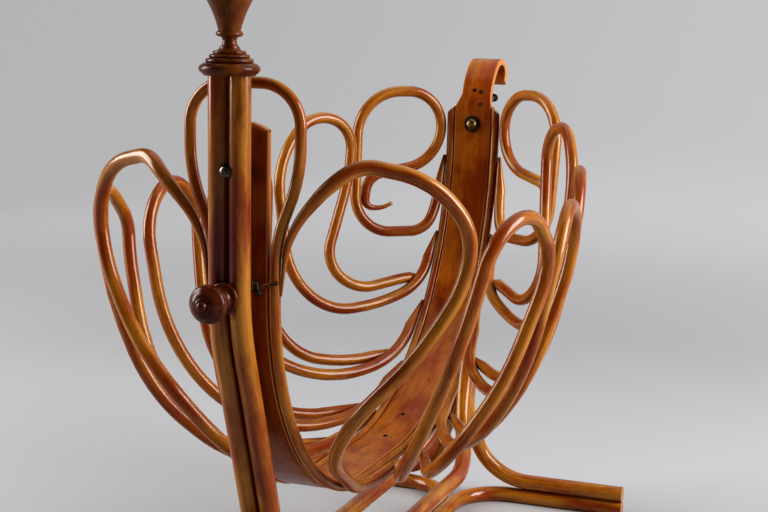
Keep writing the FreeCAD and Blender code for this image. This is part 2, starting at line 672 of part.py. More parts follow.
# Strap bolt: its head lies flush in the strap's inner face, and its nut is on the outer face.
strap_nut_face = "sizes.plank_front - 0.05"
strap_nut_end = "sizes.plank_front - sizes.strap_nut_height"
strap_where = place(post_x, strap_y, size["strap_bolt_rise"])
turned("strap_bolt", "X", [
    ("sizes.plank_back", "0"), (strap_nut_end + " - 1.5", "0"),
    (strap_nut_end + " - 1.5", "sizes.strap_bolt_dia / 2"), ("sizes.plank_back", "sizes.strap_bolt_dia / 2"),
], strap_where, 180)
turned("strap_nut", "X", [
    (strap_nut_face, "sizes.strap_bolt_dia / 2 + sizes.run_gap"),
    (strap_nut_end, "sizes.strap_bolt_dia / 2 + sizes.run_gap"),
    (strap_nut_end, "sizes.strap_nut_dia / 2"), (strap_nut_face, "sizes.strap_nut_dia / 2"),
], strap_where, 180)

# Collar and finial on the near post.
tenon = "sizes.finial_neck * 0.3125"
wide, tall = "sizes.collar_dia / 2", "sizes.collar_height"
turned("collar", "Z", [
    ("0", tenon + " + sizes.run_gap"), ("0", wide + " * 0.86"), (tall + " * 0.08", wide + " * 0.86"),
    (tall + " * 0.45", wide + " * 0.86", wide + " * 0.14"), (tall + " * 0.45", wide + " * 0.74"),
    (tall + " * 0.6", wide + " * 0.74"), (tall + " * 0.6", wide + " * 0.6"),
    (tall + " * 0.8", wide + " * 0.56", wide + " * 0.06"), (tall + " * 0.8", wide + " * 0.44"),
    (tall, wide + " * 0.34"), (tall, tenon + " + sizes.run_gap"),
], place(-post_x, 0, size["post_top"]))
neck, tall, wide = "sizes.finial_neck / 2", "sizes.finial_height", "sizes.finial_dia / 2"
turned("finial", "Z", [
    ("-0.8 * sizes.collar_height", "0"), ("-0.8 * sizes.collar_height", tenon), ("0", tenon), ("0", neck),
    (tall + " * 0.09", neck + " * 0.9"), (tall + " * 0.09", wide + " * 0.5"),
    (tall + " * 0.15", wide + " * 0.5", wide + " * 0.09"), (tall + " * 0.15", wide + " * 0.44"),
    (tall + " * 0.44", wide + " * 0.9", "-" + tall + " * 0.012"),
    (tall + " * 0.66", wide + " * 0.76", wide + " * 0.2"),
    (tall + " * 0.74", wide + " * 0.3", wide + " * 0.06"),
    (tall + " * 0.78", wide + " * 0.22"), (tall + " * 0.8", wide + " * 0.22"),
    (tall, wide + " * 0.12", tall + " * 0.07"), (tall, "0"),
], place(-post_x, 0, size["post_top"] + size["collar_height"]))

# Catch on the near post: knob, spindle, rosette and arm, turned by hand.
back, long, wide = "-(sizes.frame_rod / 2 + sizes.seat_gap", "sizes.knob_length", "sizes.knob_dia / 2"
catch_where = place(-post_x, 0, spindle_z)
knob_corners = [
    (0, None), (0, 0.8), (0.08, 0.83), (0.13, 0.56), (0.34, 0.46), (0.48, 0.62), (0.55, 0.95), (0.64, 1),
    (0.76, 0.92), (0.87, 0.66), (0.9, 0.36), (0.96, 0.3), (1, 0), (0.75, 0), (0.75, None),
]
turned("catch_knob", "X", [
    (
        "%s + %s * %s)" % (back, long, along),
        "sizes.spindle_bore" if radius is None else "0" if radius == 0 else "%s * %s" % (wide, radius),
    )
    for along, radius in knob_corners
], catch_where)
rosette_start = "sizes.frame_rod / 2 + sizes.seat_gap"
hub_start = rosette_start + " + sizes.rosette_thickness + sizes.seat_gap"
spindle_end = hub_start + " + sizes.arm_thickness + 0.5 + sizes.seat_gap"
turned("catch_spindle", "X", [
    ("%s + %s * 0.74)" % (back, long), "0"), ("%s + %s * 0.74)" % (back, long), "sizes.spindle_dia / 2"),
    (spindle_end, "sizes.spindle_dia / 2"), (spindle_end, "sizes.spindle_dia * 0.7"),
    (spindle_end + " + 1.5", "sizes.spindle_dia * 0.5"), (spindle_end + " + 1.5", "0"),
], catch_where)
turned("catch_rosette", "X", [
    (rosette_start, "sizes.spindle_bore"), (rosette_start, "sizes.rosette_dia / 2"),
    (rosette_start + " + sizes.rosette_thickness * 0.4", "sizes.rosette_dia / 2"),
    (rosette_start + " + sizes.rosette_thickness", "sizes.rosette_dia * 0.36"),
    (rosette_start + " + sizes.rosette_thickness", "sizes.spindle_bore"),
], catch_where)
hub_from = frame_radius + 2 * gap + size["rosette_thickness"]
hub_to = hub_from + size["arm_thickness"] + 0.5
arm_mid = place((hub_from + hub_to) / 2 - post_x, 0, spindle_z)
arm_slope = math.radians(size["arm_slope"])
arm_end = arm_mid + Vec(0, -math.cos(arm_slope), math.sin(arm_slope)) * size["arm_reach"]
hub_start_place, hub_end_place = (place(x - post_x, 0, spindle_z) for x in (hub_from, hub_to))
arm_radius = size["arm_thickness"] / 2
hub = cylinder(hub_start_place, hub_end_place, size["arm_hub_dia"] / 2)
arm = hub.fuse([cylinder(arm_mid, arm_end, arm_radius), Part.makeSphere(arm_radius, arm_end)])
hub_bore = cylinder(
    place(-post_x, 0, spindle_z), place(hub_to + 1 - post_x, 0, spindle_z), size["spindle_bore"]
)
add_shape("catch_arm", arm.cut(hub_bore).removeSplitter())

# Checks and export.
doc.recompute()
nodes = [
    piece for piece in doc.Objects
    if piece.TypeId == "PartDesign::Body" or piece.TypeId == "Part::Feature"
]
for thing in doc.Objects:
    if "Invalid" in thing.State or "Error" in thing.State:
        raise RuntimeError("%s is in state %s" % (thing.Name, thing.State))
os.makedirs("parts", exist_ok=True)
for piece in nodes:
    if piece.Shape.isNull() or not piece.Shape.isValid() or not piece.Shape.Solids:
        raise RuntimeError("%s has no sound shape" % piece.Name)
    piece.Shape.exportStep("parts/%s.step" % piece.Name)
whole = Part.makeCompound([piece.Shape for piece in nodes]).BoundBox
print("%d nodes" % len(nodes), "box", [round(v, 2) for v in (
    whole.XMin, whole.XMax, whole.YMin, whole.YMax, whole.ZMin, whole.ZMax,
)])
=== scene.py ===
import math
import bmesh
import bpy
from mathutils import Matrix, Vector
from mathutils.bvhtree import BVHTree


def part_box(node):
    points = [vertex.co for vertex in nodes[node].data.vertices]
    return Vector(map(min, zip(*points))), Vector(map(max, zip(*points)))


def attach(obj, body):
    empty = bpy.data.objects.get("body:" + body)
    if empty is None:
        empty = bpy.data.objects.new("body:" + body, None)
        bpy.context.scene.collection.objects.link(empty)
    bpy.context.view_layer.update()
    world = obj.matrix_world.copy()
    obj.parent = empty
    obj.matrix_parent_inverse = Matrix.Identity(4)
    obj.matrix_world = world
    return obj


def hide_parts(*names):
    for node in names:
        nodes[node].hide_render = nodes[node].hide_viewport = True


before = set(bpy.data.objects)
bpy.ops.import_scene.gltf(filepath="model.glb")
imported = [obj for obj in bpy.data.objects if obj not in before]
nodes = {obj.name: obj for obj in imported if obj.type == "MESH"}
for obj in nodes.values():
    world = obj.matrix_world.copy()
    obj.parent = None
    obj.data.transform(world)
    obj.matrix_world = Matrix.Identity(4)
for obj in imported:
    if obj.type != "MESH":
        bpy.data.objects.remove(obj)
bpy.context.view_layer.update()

# Sizes are in millimetres from the swing axis at the middle of the stand, as in the construction.
millimetre = 0.001
stand = {
    "pivotHeight": 615, "postHalf": 451, "rod": 24, "seatGap": 0.3, "postTop": 100, "farPostTop": 26,
    "straight": 165, "leanDrop": 460, "leanIn": 99, "runDrop": 530, "runHalf": 275, "runSpread": 46,
    "footReach": 270, "footTurn": 0.2, "postBend": 250, "footBend": 80, "footOverlap": 52, "floorFlat": 1,
    "spindleDrop": 135, "sides": 36,
}
collarLow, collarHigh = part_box("collar")
middleX = (collarLow.x + collarHigh.x) / 2 / millimetre + stand["postHalf"]


def at(x, y, z):
    return Vector((x + middleX, y, z + stand["pivotHeight"])) * millimetre


def newObject(name, data):
    obj = bpy.data.objects.new(name, data)
    bpy.context.scene.collection.objects.link(obj)
    return obj


def meshData(name, mesh):
    data = bpy.data.meshes.new(name)
    mesh.to_mesh(data)
    mesh.free()
    return data


def addNode(tree, kind, inputs=None, **settings):
    node = tree.nodes.new(kind)
    for key, value in settings.items():
        setattr(node, key, value)
    for key, value in (inputs or {}).items():
        if isinstance(value, bpy.types.NodeSocket):
            tree.links.new(value, node.inputs[key])
        else:
            node.inputs[key].default_value = value
    return node


def mixColor(tree, share, first, second):
    return addNode(tree, "ShaderNodeMix", {0: share, 6: first, 7: second}, data_type="RGBA").outputs[2]


def graded(tree, value, low, high, toLow=0.0, toHigh=1.0):
    return addNode(tree, "ShaderNodeMapRange", {
        "Value": value, "From Min": low, "From Max": high, "To Min": toLow, "To Max": toHigh,
    }, interpolation_type="SMOOTHSTEP").outputs[0]


# Wood: the grain runs along each piece in its own space, so it follows every bend. Each layer has its scale
# across and along the piece, its detail, the range of noise that shows, and its least and greatest strength.
grainLayers = {
    "patches": (40, 9, 4, 0.38, 0.6, 0, 1), "bands": (190, 4, 4, 0.42, 0.72, 0, 1),
    "flecks": (1100, 150, 2, 0.56, 0.7, 0, 0.4), "stains": (70, 16, 4, 0.52, 0.72, 0, 0.55),
    "roughness": (60, 30, 4, 0.3, 0.7, 0.3, 0.52),
}
# Painted shade in the grooves, and wear with a painted highlight: the range of each that shows, its least and
# greatest strength, and the color of worn and lit wood.
paintedLightAndWear = {"grooveShade": (0.12, 0.75, 0, 0.92), "wearAndHighlight": (0.2, 0.9, 0, 0.7), "wornAndLitColor": (0.6, 0.26, 0.06, 1)}


def woodGroup():
    tree = bpy.data.node_groups.new("woodGrain", "ShaderNodeTree")
    for name, kind in (
        ("Place", "Vector"), ("Seed", "Float"), ("PaintedShade", "Float"), ("WearAndHighlight", "Float"), ("Streak", "Float"),
        ("Pale", "Color"), ("Warm", "Color"), ("Deep", "Color"),
    ):
        tree.interface.new_socket(name, in_out="INPUT", socket_type="NodeSocket" + kind)
    for name, kind in (("Color", "Color"), ("Roughness", "Float"), ("Height", "Float")):
        tree.interface.new_socket(name, in_out="OUTPUT", socket_type="NodeSocket" + kind)
    given = addNode(tree, "NodeGroupInput").outputs

    def layer(name):
        across, along, detail, *shown = grainLayers[name]
        mapped = addNode(tree, "ShaderNodeMapping", {
            "Vector": given["Place"], "Scale": (across, across, along),
        }).outputs[0]
        noise = addNode(tree, "ShaderNodeTexNoise", {
            "Vector": mapped, "W": given["Seed"], "Scale": 1.0, "Detail": detail, "Roughness": 0.6,
        }, noise_dimensions="4D").outputs["Fac"]
        return graded(tree, noise, *shown)

    bands = addNode(tree, "ShaderNodeMath", {0: layer("bands"), 1: given["Streak"]}, operation="MULTIPLY")
    flecks = layer("flecks")
    color = mixColor(tree, layer("patches"), given["Warm"], given["Pale"])
    # Painted shade in the grooves, and on the plank's outer face, darkens the color towards the deep tone.
    for share in (bands.outputs[0], flecks, layer("stains"), graded(tree, given["PaintedShade"], *paintedLightAndWear["grooveShade"])):
        color = mixColor(tree, share, color, given["Deep"])
    # Wear with a painted highlight lightens the color towards worn and lit wood.
    color = mixColor(tree, graded(tree, given["WearAndHighlight"], *paintedLightAndWear["wearAndHighlight"]), color, paintedLightAndWear["wornAndLitColor"])
    addNode(tree, "NodeGroupOutput", {"Color": color, "Roughness": layer("roughness"), "Height": flecks})
    return tree


woodGrain = woodGroup()


def newMaterial(name):
    material = bpy.data.materials.new(name)
    material.use_nodes = True
    tree = material.node_tree
    return material, tree, tree.nodes["Principled BSDF"]


def attribute(tree, name, output="Fac"):
    node = addNode(tree, "ShaderNodeAttribute", attribute_name=name, attribute_type="GEOMETRY")
    return node.outputs[output]


# Varnished wood: each piece brings its own grain space as attributes.
def woodMaterial(name, pale, warm, deep, coat, streak):
    material, tree, shader = newMaterial(name)
    across = addNode(tree, "ShaderNodeSeparateXYZ", {0: attribute(tree, "across", "Vector")}).outputs
    space = addNode(tree, "ShaderNodeCombineXYZ", {
        0: across[0], 1: across[1], 2: attribute(tree, "along"),
    }).outputs[0]
    # Painted shade: the occlusion shade in the grooves plus the painted shade on the plank's outer face.
    shade = addNode(tree, "ShaderNodeMath", {
        0: attribute(tree, "grooveShade"), 1: attribute(tree, "stain"),
    }).outputs[0]
    grain = addNode(tree, "ShaderNodeGroup", {
        "Place": space, "Seed": attribute(tree, "rodSeed"), "PaintedShade": shade, "WearAndHighlight": attribute(tree, "wearAndHighlight"),
        "Streak": streak, "Pale": (*pale, 1), "Warm": (*warm, 1), "Deep": (*deep, 1),
    }, node_tree=woodGrain).outputs
    bump = addNode(tree, "ShaderNodeBump", {
        "Height": grain["Height"], "Strength": 0.2, "Distance": 0.0002,
    }, invert=True).outputs[0]
    for key, value in (("Base Color", grain["Color"]), ("Roughness", grain["Roughness"]), ("Normal", bump)):
        tree.links.new(value, shader.inputs[key])
    for key, value in (("Specular IOR Level", 0.1), ("Coat Weight", coat), ("Coat Roughness", 0.17)):
        shader.inputs[key].default_value = value
    return material


# Tarnish on metal: its noise, the ranges of it that color and roughen, and how far the roughness strays.
tarnish = {
    "scale": 260, "detail": 5, "color": (0.4, 0.65), "rough": (0.3, 0.7), "smoother": 0.1, "rougher": 0.15,
}


def metalMaterial(name, bright, dark, rough):
    material, tree, shader = newMaterial(name)
    stain = addNode(tree, "ShaderNodeTexNoise", {
        "Vector": addNode(tree, "ShaderNodeTexCoord").outputs["Object"],
        "Scale": tarnish["scale"], "Detail": tarnish["detail"],
    }).outputs["Fac"]
    color = mixColor(tree, graded(tree, stain, *tarnish["color"]), (*bright, 1), (*dark, 1))
    strays = rough - tarnish["smoother"], rough + tarnish["rougher"]
    tree.links.new(color, shader.inputs["Base Color"])
    tree.links.new(graded(tree, stain, *tarnish["rough"], *strays), shader.inputs["Roughness"])
    shader.inputs["Metallic"].default_value = 1
    return material


# Each wood's pale, warm and deep color, the weight of its varnish and the strength of its streaks.
woods = {
    "honeyWood": ((0.46, 0.195, 0.017), (0.3, 0.064, 0.002), (0.135, 0.0045, 0.0003), 0.85, 0.6),
    "plankWood": ((0.45, 0.15, 0.009), (0.29, 0.057, 0.0015), (0.12, 0.004, 0.0003), 0.6, 0.3),
    "turnedWood": ((0.2, 0.06, 0.004), (0.11, 0.02, 0.001), (0.055, 0.004, 0.0004), 0.45, 0.5),
    "darkWood": ((0.14, 0.028, 0.006), (0.085, 0.014, 0.003), (0.028, 0.0035, 0.001), 0.45, 0.6),
}
# Each metal's bright and dark color and its roughness.
metals = {
    "darkIron": ((0.09, 0.075, 0.06), (0.022, 0.016, 0.012), 0.5),
    "brownIron": ((0.2, 0.095, 0.05), (0.15, 0.07, 0.037), 0.45),
    "steel": ((0.26, 0.22, 0.18), (0.045, 0.034, 0.026), 0.28),
    "oldBrass": ((0.36, 0.27, 0.12), (0.1, 0.075, 0.035), 0.38),
}
honeyWood, plankWood, turnedWood, darkWood = (woodMaterial(name, *look) for name, look in woods.items())
darkIron, brownIron, steel, oldBrass = (metalMaterial(name, *look) for name, look in metals.items())
print("materials made")

# Bent rods: straight runs joined by tangent arcs, each as large as its share of the runs allows.
bends = {"firstShare": 0.7, "share": 0.5, "lastShare": 0.6, "stepDegrees": 5}


def bentPath(points, largest=None):
    runs = [b - a for a, b in zip(points, points[1:])]
    line = [points[0]]
    for corner in range(1, len(runs)):
        before, after = runs[corner - 1], runs[corner]
        turn = before.angle(after)
        if turn < 1e-4:
            continue
        room = min(
            before.length * bends["firstShare" if corner == 1 else "share"],
            after.length * bends["lastShare" if corner == len(runs) - 1 else "share"],
        )
        radius = room / math.tan(turn / 2)
        if largest and radius > largest * millimetre:
            radius = largest * millimetre
            room = radius * math.tan(turn / 2)
        inward, outward = before.normalized(), after.normalized()
        start = points[corner] - inward * room
        centre = points[corner] + (outward - inward).normalized() * (radius / math.cos(turn / 2))
        steps = max(2, math.ceil(math.degrees(turn) / bends["stepDegrees"]))
        for step in range(steps + 1):
            turned = Matrix.Rotation(turn * step / steps, 3, before.cross(after))
            line.append(centre + turned @ (start - centre))
    line.append(points[-1])
    return [p for p, q in zip(line, line[1:]) if (q - p).length > 1e-6] + [line[-1]]


# A new tree with its named inputs, each of its kind, and one output.
def geometryTree(name, kinds):
    tree = bpy.data.node_groups.new(name, "GeometryNodeTree")
    for key, kind in kinds.items():
        tree.interface.new_socket(key, in_out="INPUT", socket_type="NodeSocket" + kind)
    tree.interface.new_socket("Geometry", in_out="OUTPUT", socket_type="NodeSocketGeometry")
    return tree, addNode(tree, "NodeGroupInput").outputs


# Each tree ends in real geometry with its finish.
def closeTree(tree, geometry, finish):
    single = addNode(tree, "GeometryNodeRealizeInstances", {"Geometry": geometry}).outputs[0]
    finished = addNode(tree, "GeometryNodeSetMaterial", {"Geometry": single, "Material": finish}).outputs[0]
    addNode(tree, "NodeGroupOutput", {"Geometry": finished})


def stored(tree, geometry, name, value, kind, domain="POINT"):
    return addNode(tree, "GeometryNodeStoreNamedAttribute", {
        "Geometry": geometry, "Name": name, "Value": value,
    }, data_type=kind, domain=domain).outputs[0]


def namedVector(tree, name):
    node = addNode(tree, "GeometryNodeInputNamedAttribute", {"Name": name}, data_type="FLOAT_VECTOR")
    return node.outputs[0]


ringGrain = 0.01  # radius of every rod in the grain's own space, in metres


# A rod along each spline, thick as its points say, with the grain's own space kept as attributes.
def rodTree():
    tree, given = geometryTree("bentRod", {"Geometry": "Geometry", "Sides": "Int", "Finish": "Material"})
    splineIndex = addNode(tree, "GeometryNodeInputIndex").outputs[0]
    length = addNode(tree, "GeometryNodeSplineParameter").outputs["Length"]
    place = addNode(tree, "GeometryNodeInputPosition").outputs[0]
    radius = addNode(tree, "GeometryNodeInputRadius").outputs[0]
    seeded = stored(tree, given["Geometry"], "rodSeed", splineIndex, "FLOAT", "CURVE")
    line = stored(tree, seeded, "along", length, "FLOAT")
    circle = addNode(tree, "GeometryNodeCurvePrimitiveCircle", {"Resolution": given["Sides"], "Radius": 1.0})
    ring = stored(tree, circle.outputs["Curve"], "ring", place, "FLOAT_VECTOR")
    sweep = addNode(tree, "GeometryNodeCurveToMesh", {
        "Curve": line, "Profile Curve": ring, "Fill Caps": True, "Scale": radius,
    }).outputs[0]
    across = addNode(tree, "ShaderNodeVectorMath", {
        0: namedVector(tree, "ring"), 1: (ringGrain, ringGrain, ringGrain),
    }, operation="MULTIPLY").outputs[0]
    swept = stored(tree, sweep, "across", across, "FLOAT_VECTOR")
    smooth = addNode(tree, "GeometryNodeSetShadeSmooth", {"Geometry": swept}).outputs[0]
    closeTree(tree, smooth, given["Finish"])
    return tree


bentRod = rodTree()


def socketId(tree, name):
    given = (item for item in tree.interface.items_tree if item.in_out == "INPUT")
    return next(item.identifier for item in given if item.name == name)


# The evaluated piece as a plain mesh in a new object, with sharp edges kept sharp.
def plainMesh(obj, name, sharp=40):
    bpy.context.view_layer.update()
    mesh = bpy.data.meshes.new_from_object(obj.evaluated_get(bpy.context.evaluated_depsgraph_get()))
    mesh.name = name
    bpy.data.objects.remove(obj)
    mesh.set_sharp_from_angle(angle=math.radians(sharp))
    return newObject(name, mesh)


# One mesh from several lines, each a list of points and a list of radii in millimetres.
def rods(name, lines, sides, finish):
    curve = bpy.data.curves.new(name, "CURVE")
    curve.dimensions = "3D"
    for points, radii in lines:
        spline = curve.splines.new("POLY")
        spline.points.add(len(points) - 1)
        for spot, point, radius in zip(spline.points, points, radii):
            spot.co = (*point, 1)
            spot.radius = radius * millimetre
    obj = newObject(name, curve)
    modifier = obj.modifiers.new("bentRod", "NODES")
    modifier.node_group = bentRod
    modifier[socketId(bentRod, "Sides")] = sides
    modifier[socketId(bentRod, "Finish")] = finish
    return plainMesh(obj, name)


def evenRod(points, radius):
    return points, [radius] * len(points)


# A rounded tip: how far its steps lie from the end, and how thick the last ones are, in radii of the tip.
tipSteps, tipShares = (0.5, 0.2, 0.04, 0), (0.92, 0.72, 0.45)


# The last run tapers to a rounded tip, held to the lean side. With a root the first run does so too.
def tippedRod(points, radius, tip, lean=Vector(), root=None, rootLean=None):
    def thinEnd(join, end, thin, towards):
        back = (join - end).normalized() * thin * millimetre
        aside = towards * (radius - thin) * millimetre
        share = 1 - tipSteps[0] * thin * millimetre / (join - end).length
        line = [end + aside + back * step for step in tipSteps]
        return line, [radius + (thin - radius) * share] + [thin * part for part in tipShares]

    line, radii = thinEnd(points[-2], points[-1], tip, lean)
    middle = points[:-1]
    line, radii = middle + line, [radius] * len(middle) + radii
    if root:
        start, thin = thinEnd(points[1], points[0], root, rootLean or lean)
        line, radii = start[::-1] + line[1:], thin[::-1] + radii[1:]
    return line, radii


# Spine plank, bent up at both ends, with a curled strap at the far end. The curl's arcs are given by radius and
# degrees, and the strap narrows and leans aside over a short way above the plank's far rise.
plank = {
    "width": 60, "thick": 10, "x": 415, "depth": 425, "nearBend": 285, "farBend": 420, "nearRise": 51,
    "farRise": 20, "curl": ((80, 25), (95, 30), (36, 55), (20, 112)), "curlSteps": 15, "strapWidth": 49,
    "strapAside": 4, "strapFrom": 3, "strapOver": 26, "topArch": 47, "archRows": 8, "edge": 2.2,
    "cornerSteps": 4, "faceSteps": 8, "steps": 170, "endSteps": (0, 0.4, 1.3), "endThin": {0: 0.6, 1: 0.84},
    "holeSpan": (390, 440), "holeSegments": 32, "bushHole": 6.68, "strapHole": 3.06, "strapY": -12,
    "strapZ": 32, "seed": 40, "grainAcross": 0.5, "sideHighlight": 0.8, "outerShade": 0.42, "skin": 0.1,
}
nearX, nearZ = plank["nearBend"] - plank["x"], plank["nearBend"] - plank["depth"]
farX, farZ = plank["x"] - plank["farBend"], plank["farBend"] - plank["depth"]


# X and Z of the plank's middle line at a distance from the foot of its far bend.
def spineAt(station):
    flat = farX - nearX
    if station >= 0:
        turn = min(station / plank["farBend"], math.pi / 2)
        rise = station - turn * plank["farBend"]
        return farX + plank["farBend"] * math.sin(turn), farZ - plank["farBend"] * math.cos(turn) + rise
    back = max(-station - flat, 0)
    turn = min(back / plank["nearBend"], math.pi / 2)
    rise = back - turn * plank["nearBend"]
    level = farX + max(station, -flat)
    return level - plank["nearBend"] * math.sin(turn), nearZ - plank["nearBend"] * math.cos(turn) + rise


def spineAhead(station, step=0.5):
    return (Vector(spineAt(station + step)) - Vector(spineAt(station - step))).normalized()


def spineHeight(x):
    if x > farX:
        reach = min(x - farX, plank["farBend"])
        return farZ - math.sqrt(plank["farBend"] ** 2 - reach ** 2)
    reach = min(max(nearX - x, 0), plank["nearBend"])
    return nearZ - math.sqrt(plank["nearBend"] ** 2 - reach ** 2)


# The strap above the plank's far end leans back along its arcs: place, way ahead and length so far.
def strapLine():
    spot, heading, length = Vector((plank["x"], plank["farRise"])), 0, 0
    line = [(*spot, Vector((0, 1)), 0)]
    for radius, degrees in plank["curl"]:
        for _ in range(plank["curlSteps"]):
            step = math.radians(degrees) / plank["curlSteps"]
            middle = heading + step / 2
            spot = spot + Vector((math.sin(middle), math.cos(middle))) * 2 * radius * math.sin(step / 2)
            heading, length = heading + step, length + radius * step
            line.append((*spot, Vector((math.sin(heading), math.cos(heading))), length))
    return line


def strapAt(rise):
    return min(strapLine(), key=lambda step: abs(step[1] - rise))


# Layers of a mesh for the grain's own space.
def grainSpace(mesh):
    along = mesh.verts.layers.float.new("along")
    across = mesh.verts.layers.float_vector.new("across")
    return along, across, mesh.verts.layers.float.new("rodSeed")


# Points round the plank's section, with rounded corners: place across and through it.
def plankOutline(half, thick, edge):
    outline = []
    for quarter, (sy, st) in enumerate(((1, 1), (-1, 1), (-1, -1), (1, -1))):
        for step in range(plank["cornerSteps"] + 1):
            angle = math.radians(90 * quarter + 90 / plank["cornerSteps"] * step)
            y = sy * (half - edge) + edge * math.cos(angle)
            outline.append((y, st * (thick - edge) + edge * math.sin(angle)))
        if quarter % 2 == 0:  # points across the face, which the arch of the near top needs
            steps = plank["faceSteps"]
            outline += [(sy * (half - edge) * (1 - k / steps), st * thick) for k in range(1, 2 * steps)]
    return outline


def plankPiece():
    nearEnd = -(farX - nearX) - plank["nearBend"] * math.pi / 2 - (plank["nearRise"] - nearZ)
    farEnd = plank["farBend"] * math.pi / 2 + plank["farRise"] - farZ
    steps = plank["steps"]
    stations = [nearEnd + step for step in plank["endSteps"]]
    stations += [nearEnd + (farEnd - nearEnd) * k / steps for k in range(1, steps + 1)]
    line = [(*spineAt(station), spineAhead(station), station) for station in stations]
    line += [(x, z, ahead, farEnd + length) for x, z, ahead, length in strapLine()[1:]]
    mesh = bmesh.new()
    alongLayer, acrossLayer, seedLayer = grainSpace(mesh)
    # The stain layer holds painted shade: the plank's outer face is darkened as if it lay in shade.
    wearAndHighlightLayer, outerShadeLayer = mesh.verts.layers.float.new("wearAndHighlight"), mesh.verts.layers.float.new("stain")
    half, thick, edge, skin = plank["width"] / 2, plank["thick"] / 2, plank["edge"], plank["skin"]
    outline = plankOutline(half, thick, edge)
    rings = []
    for number, (x, z, ahead, station) in enumerate(line):
        ring = []
        share = min(max((station - farEnd - plank["strapFrom"]) / plank["strapOver"], 0), 1)
        share = share * share * (3 - 2 * share)
        narrow = (plank["width"] - plank["strapWidth"]) / plank["width"] * share
        arch = max(1 - number / plank["archRows"], 0)
        for y, t in outline:
            y *= 1 - narrow
            t *= plank["endThin"].get(number, 1)
            droop = (plank["topArch"] - math.sqrt(plank["topArch"] ** 2 - y ** 2)) * arch
            place = at(x - ahead.y * t, y - plank["strapAside"] * share, z + ahead.x * t - droop)
            # A painted highlight on the plank's side faces, and wear with a painted highlight on its top and
            # rounded corners.
            wearAndHighlight = plank["sideHighlight"] if abs(t) <= thick - edge else 0
            if number < len(plank["endSteps"]) or thick - edge < abs(t) < thick - skin:
                wearAndHighlight = 1  # the top and the rounded corners
            spot = mesh.verts.new(place)
            spot[alongLayer] = station * millimetre
            spot[acrossLayer] = (y * millimetre * plank["grainAcross"], t * millimetre, 0)
            spot[seedLayer] = plank["seed"]
            spot[wearAndHighlightLayer] = wearAndHighlight
            # Painted shade on the plank's outer face.
            spot[outerShadeLayer] = plank["outerShade"] if t < skin - thick else 0
            ring.append(spot)
        rings.append(ring)
    for first, second in zip(rings, rings[1:]):
        for k in range(len(first)):
            after = (k + 1) % len(first)
            mesh.faces.new((first[k], first[after], second[after], second[k]))
    count = len(outline)
    for end in (rings[0], rings[-1]):
        for k in range(count // 2 - 1):
            mesh.faces.new((end[k], end[k + 1], end[count - 2 - k], end[count - 1 - k]))
    bmesh.ops.recalc_face_normals(mesh, faces=mesh.faces)
    data = meshData("spinePlank", mesh)
    data.materials.append(plankWood)
    data.shade_smooth()
    return newObject("plankBlank", data)


def cutAway(obj, name, tool):
    cut = obj.modifiers.new(name, "BOOLEAN")
    cut.operation, cut.solver, cut.object = "DIFFERENCE", "EXACT", tool


# Round holes along X, each given by its two ends and a radius.
def bore(obj, cuts):
    tools = []
    for start, end, radius in cuts:
        drill = bmesh.new()
        place = Matrix.Translation((start + end) / 2) @ Matrix.Rotation(math.pi / 2, 4, "Y")
        bmesh.ops.create_cone(
            drill, segments=plank["holeSegments"], radius1=radius * millimetre, radius2=radius * millimetre,
            cap_ends=True, depth=(end - start).length, matrix=place,
        )
        tools.append(newObject("drill", meshData("drill", drill)))
        cutAway(obj, "bore", tools[-1])
    return tools


blank = plankPiece()
inside, outside = plank["holeSpan"]
strapY, strapZ = plank["strapY"], plank["strapZ"]
tools = bore(blank, [
    (at(-outside, 0, 0), at(-inside, 0, 0), plank["bushHole"]),
    (at(inside, 0, 0), at(outside, 0, 0), plank["bushHole"]),
    (at(inside, strapY, strapZ), at(outside, strapY, strapZ), plank["strapHole"]),
])
spinePlank = plainMesh(blank, "spinePlank")
for tool in tools:
    bpy.data.objects.remove(tool)
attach(spinePlank, "basket")
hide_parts("spine_plank")
print("plank made")

# Loops, scrolls and edge rods of the basket. A loop's lines are steps along X and shares of the basket's
# surface; its landings and stops are shares of the pitch between tips.
loops = {
    "rod": 17, "tip": 10, "root": 4, "halfWidth": 63, "crowns": (223, 79, -75, -245, -393), "firstTip": 238.7,
    "tipApproach": 29, "approachShare": 0.27, "tipPitch": 121.5, "shoulderShare": 0.94, "crownShare": 1.03,
    "nearLines": (
        ((-8, 0.64), (36, 0.46), (112, 0.31)),
        ((-8, 0.66), (36, 0.44), (128, 0.23)),
        ((-8, 0.66), (24, 0.42), (110, 0.19)),
        ((-10, 0.68), (2, 0.42), (100, 0.15)),
    ),
    "farLines": (
        ((-8, 0.8), (-66, 0.6), (-34, 0.44)),
        ((-8, 0.82), (-56, 0.6), (-40, 0.42), (36, 0.25)),
        ((-7, 0.84), (-46, 0.6), (-42, 0.4), (30, 0.22)),
        ((-6, 0.86), (-34, 0.62), (-40, 0.4), (10, 0.23)),
        ((-2, 0.8), (-22, 0.56), (-34, 0.27), (4, 0.05)),
    ),
    "nearLanding": (0.2, 0.35, 0.5, 0.5), "farLanding": (0.12, 0.3, 0.36, 0.36, 0.36), "pastTip": 0.55,
    "sides": 28,
}
# The loop at the near end. Foot, drop and taper's top are shares of the near bend's depth below the swing axis,
# and upright is in metres.
nearLoop = {
    "number": 4, "stops": (1.2, 0.8), "foot": 0.98, "seat": 0.12, "aside": 1.25, "asideDrop": 0.09,
    "crownBack": 3, "crownOn": 0.45, "taperTop": 0.02, "thin": 0.1, "taperSteps": 10, "press": 1.8,
    "upright": 0.02,
}
# The rim's length, power and rise are given for the far part and the near part.
rim = {
    "halfWidth": 284, "drop": 70, "widest": 165, "length": (530, 245), "power": (2.1, 2.5), "rise": (137, 75),
}
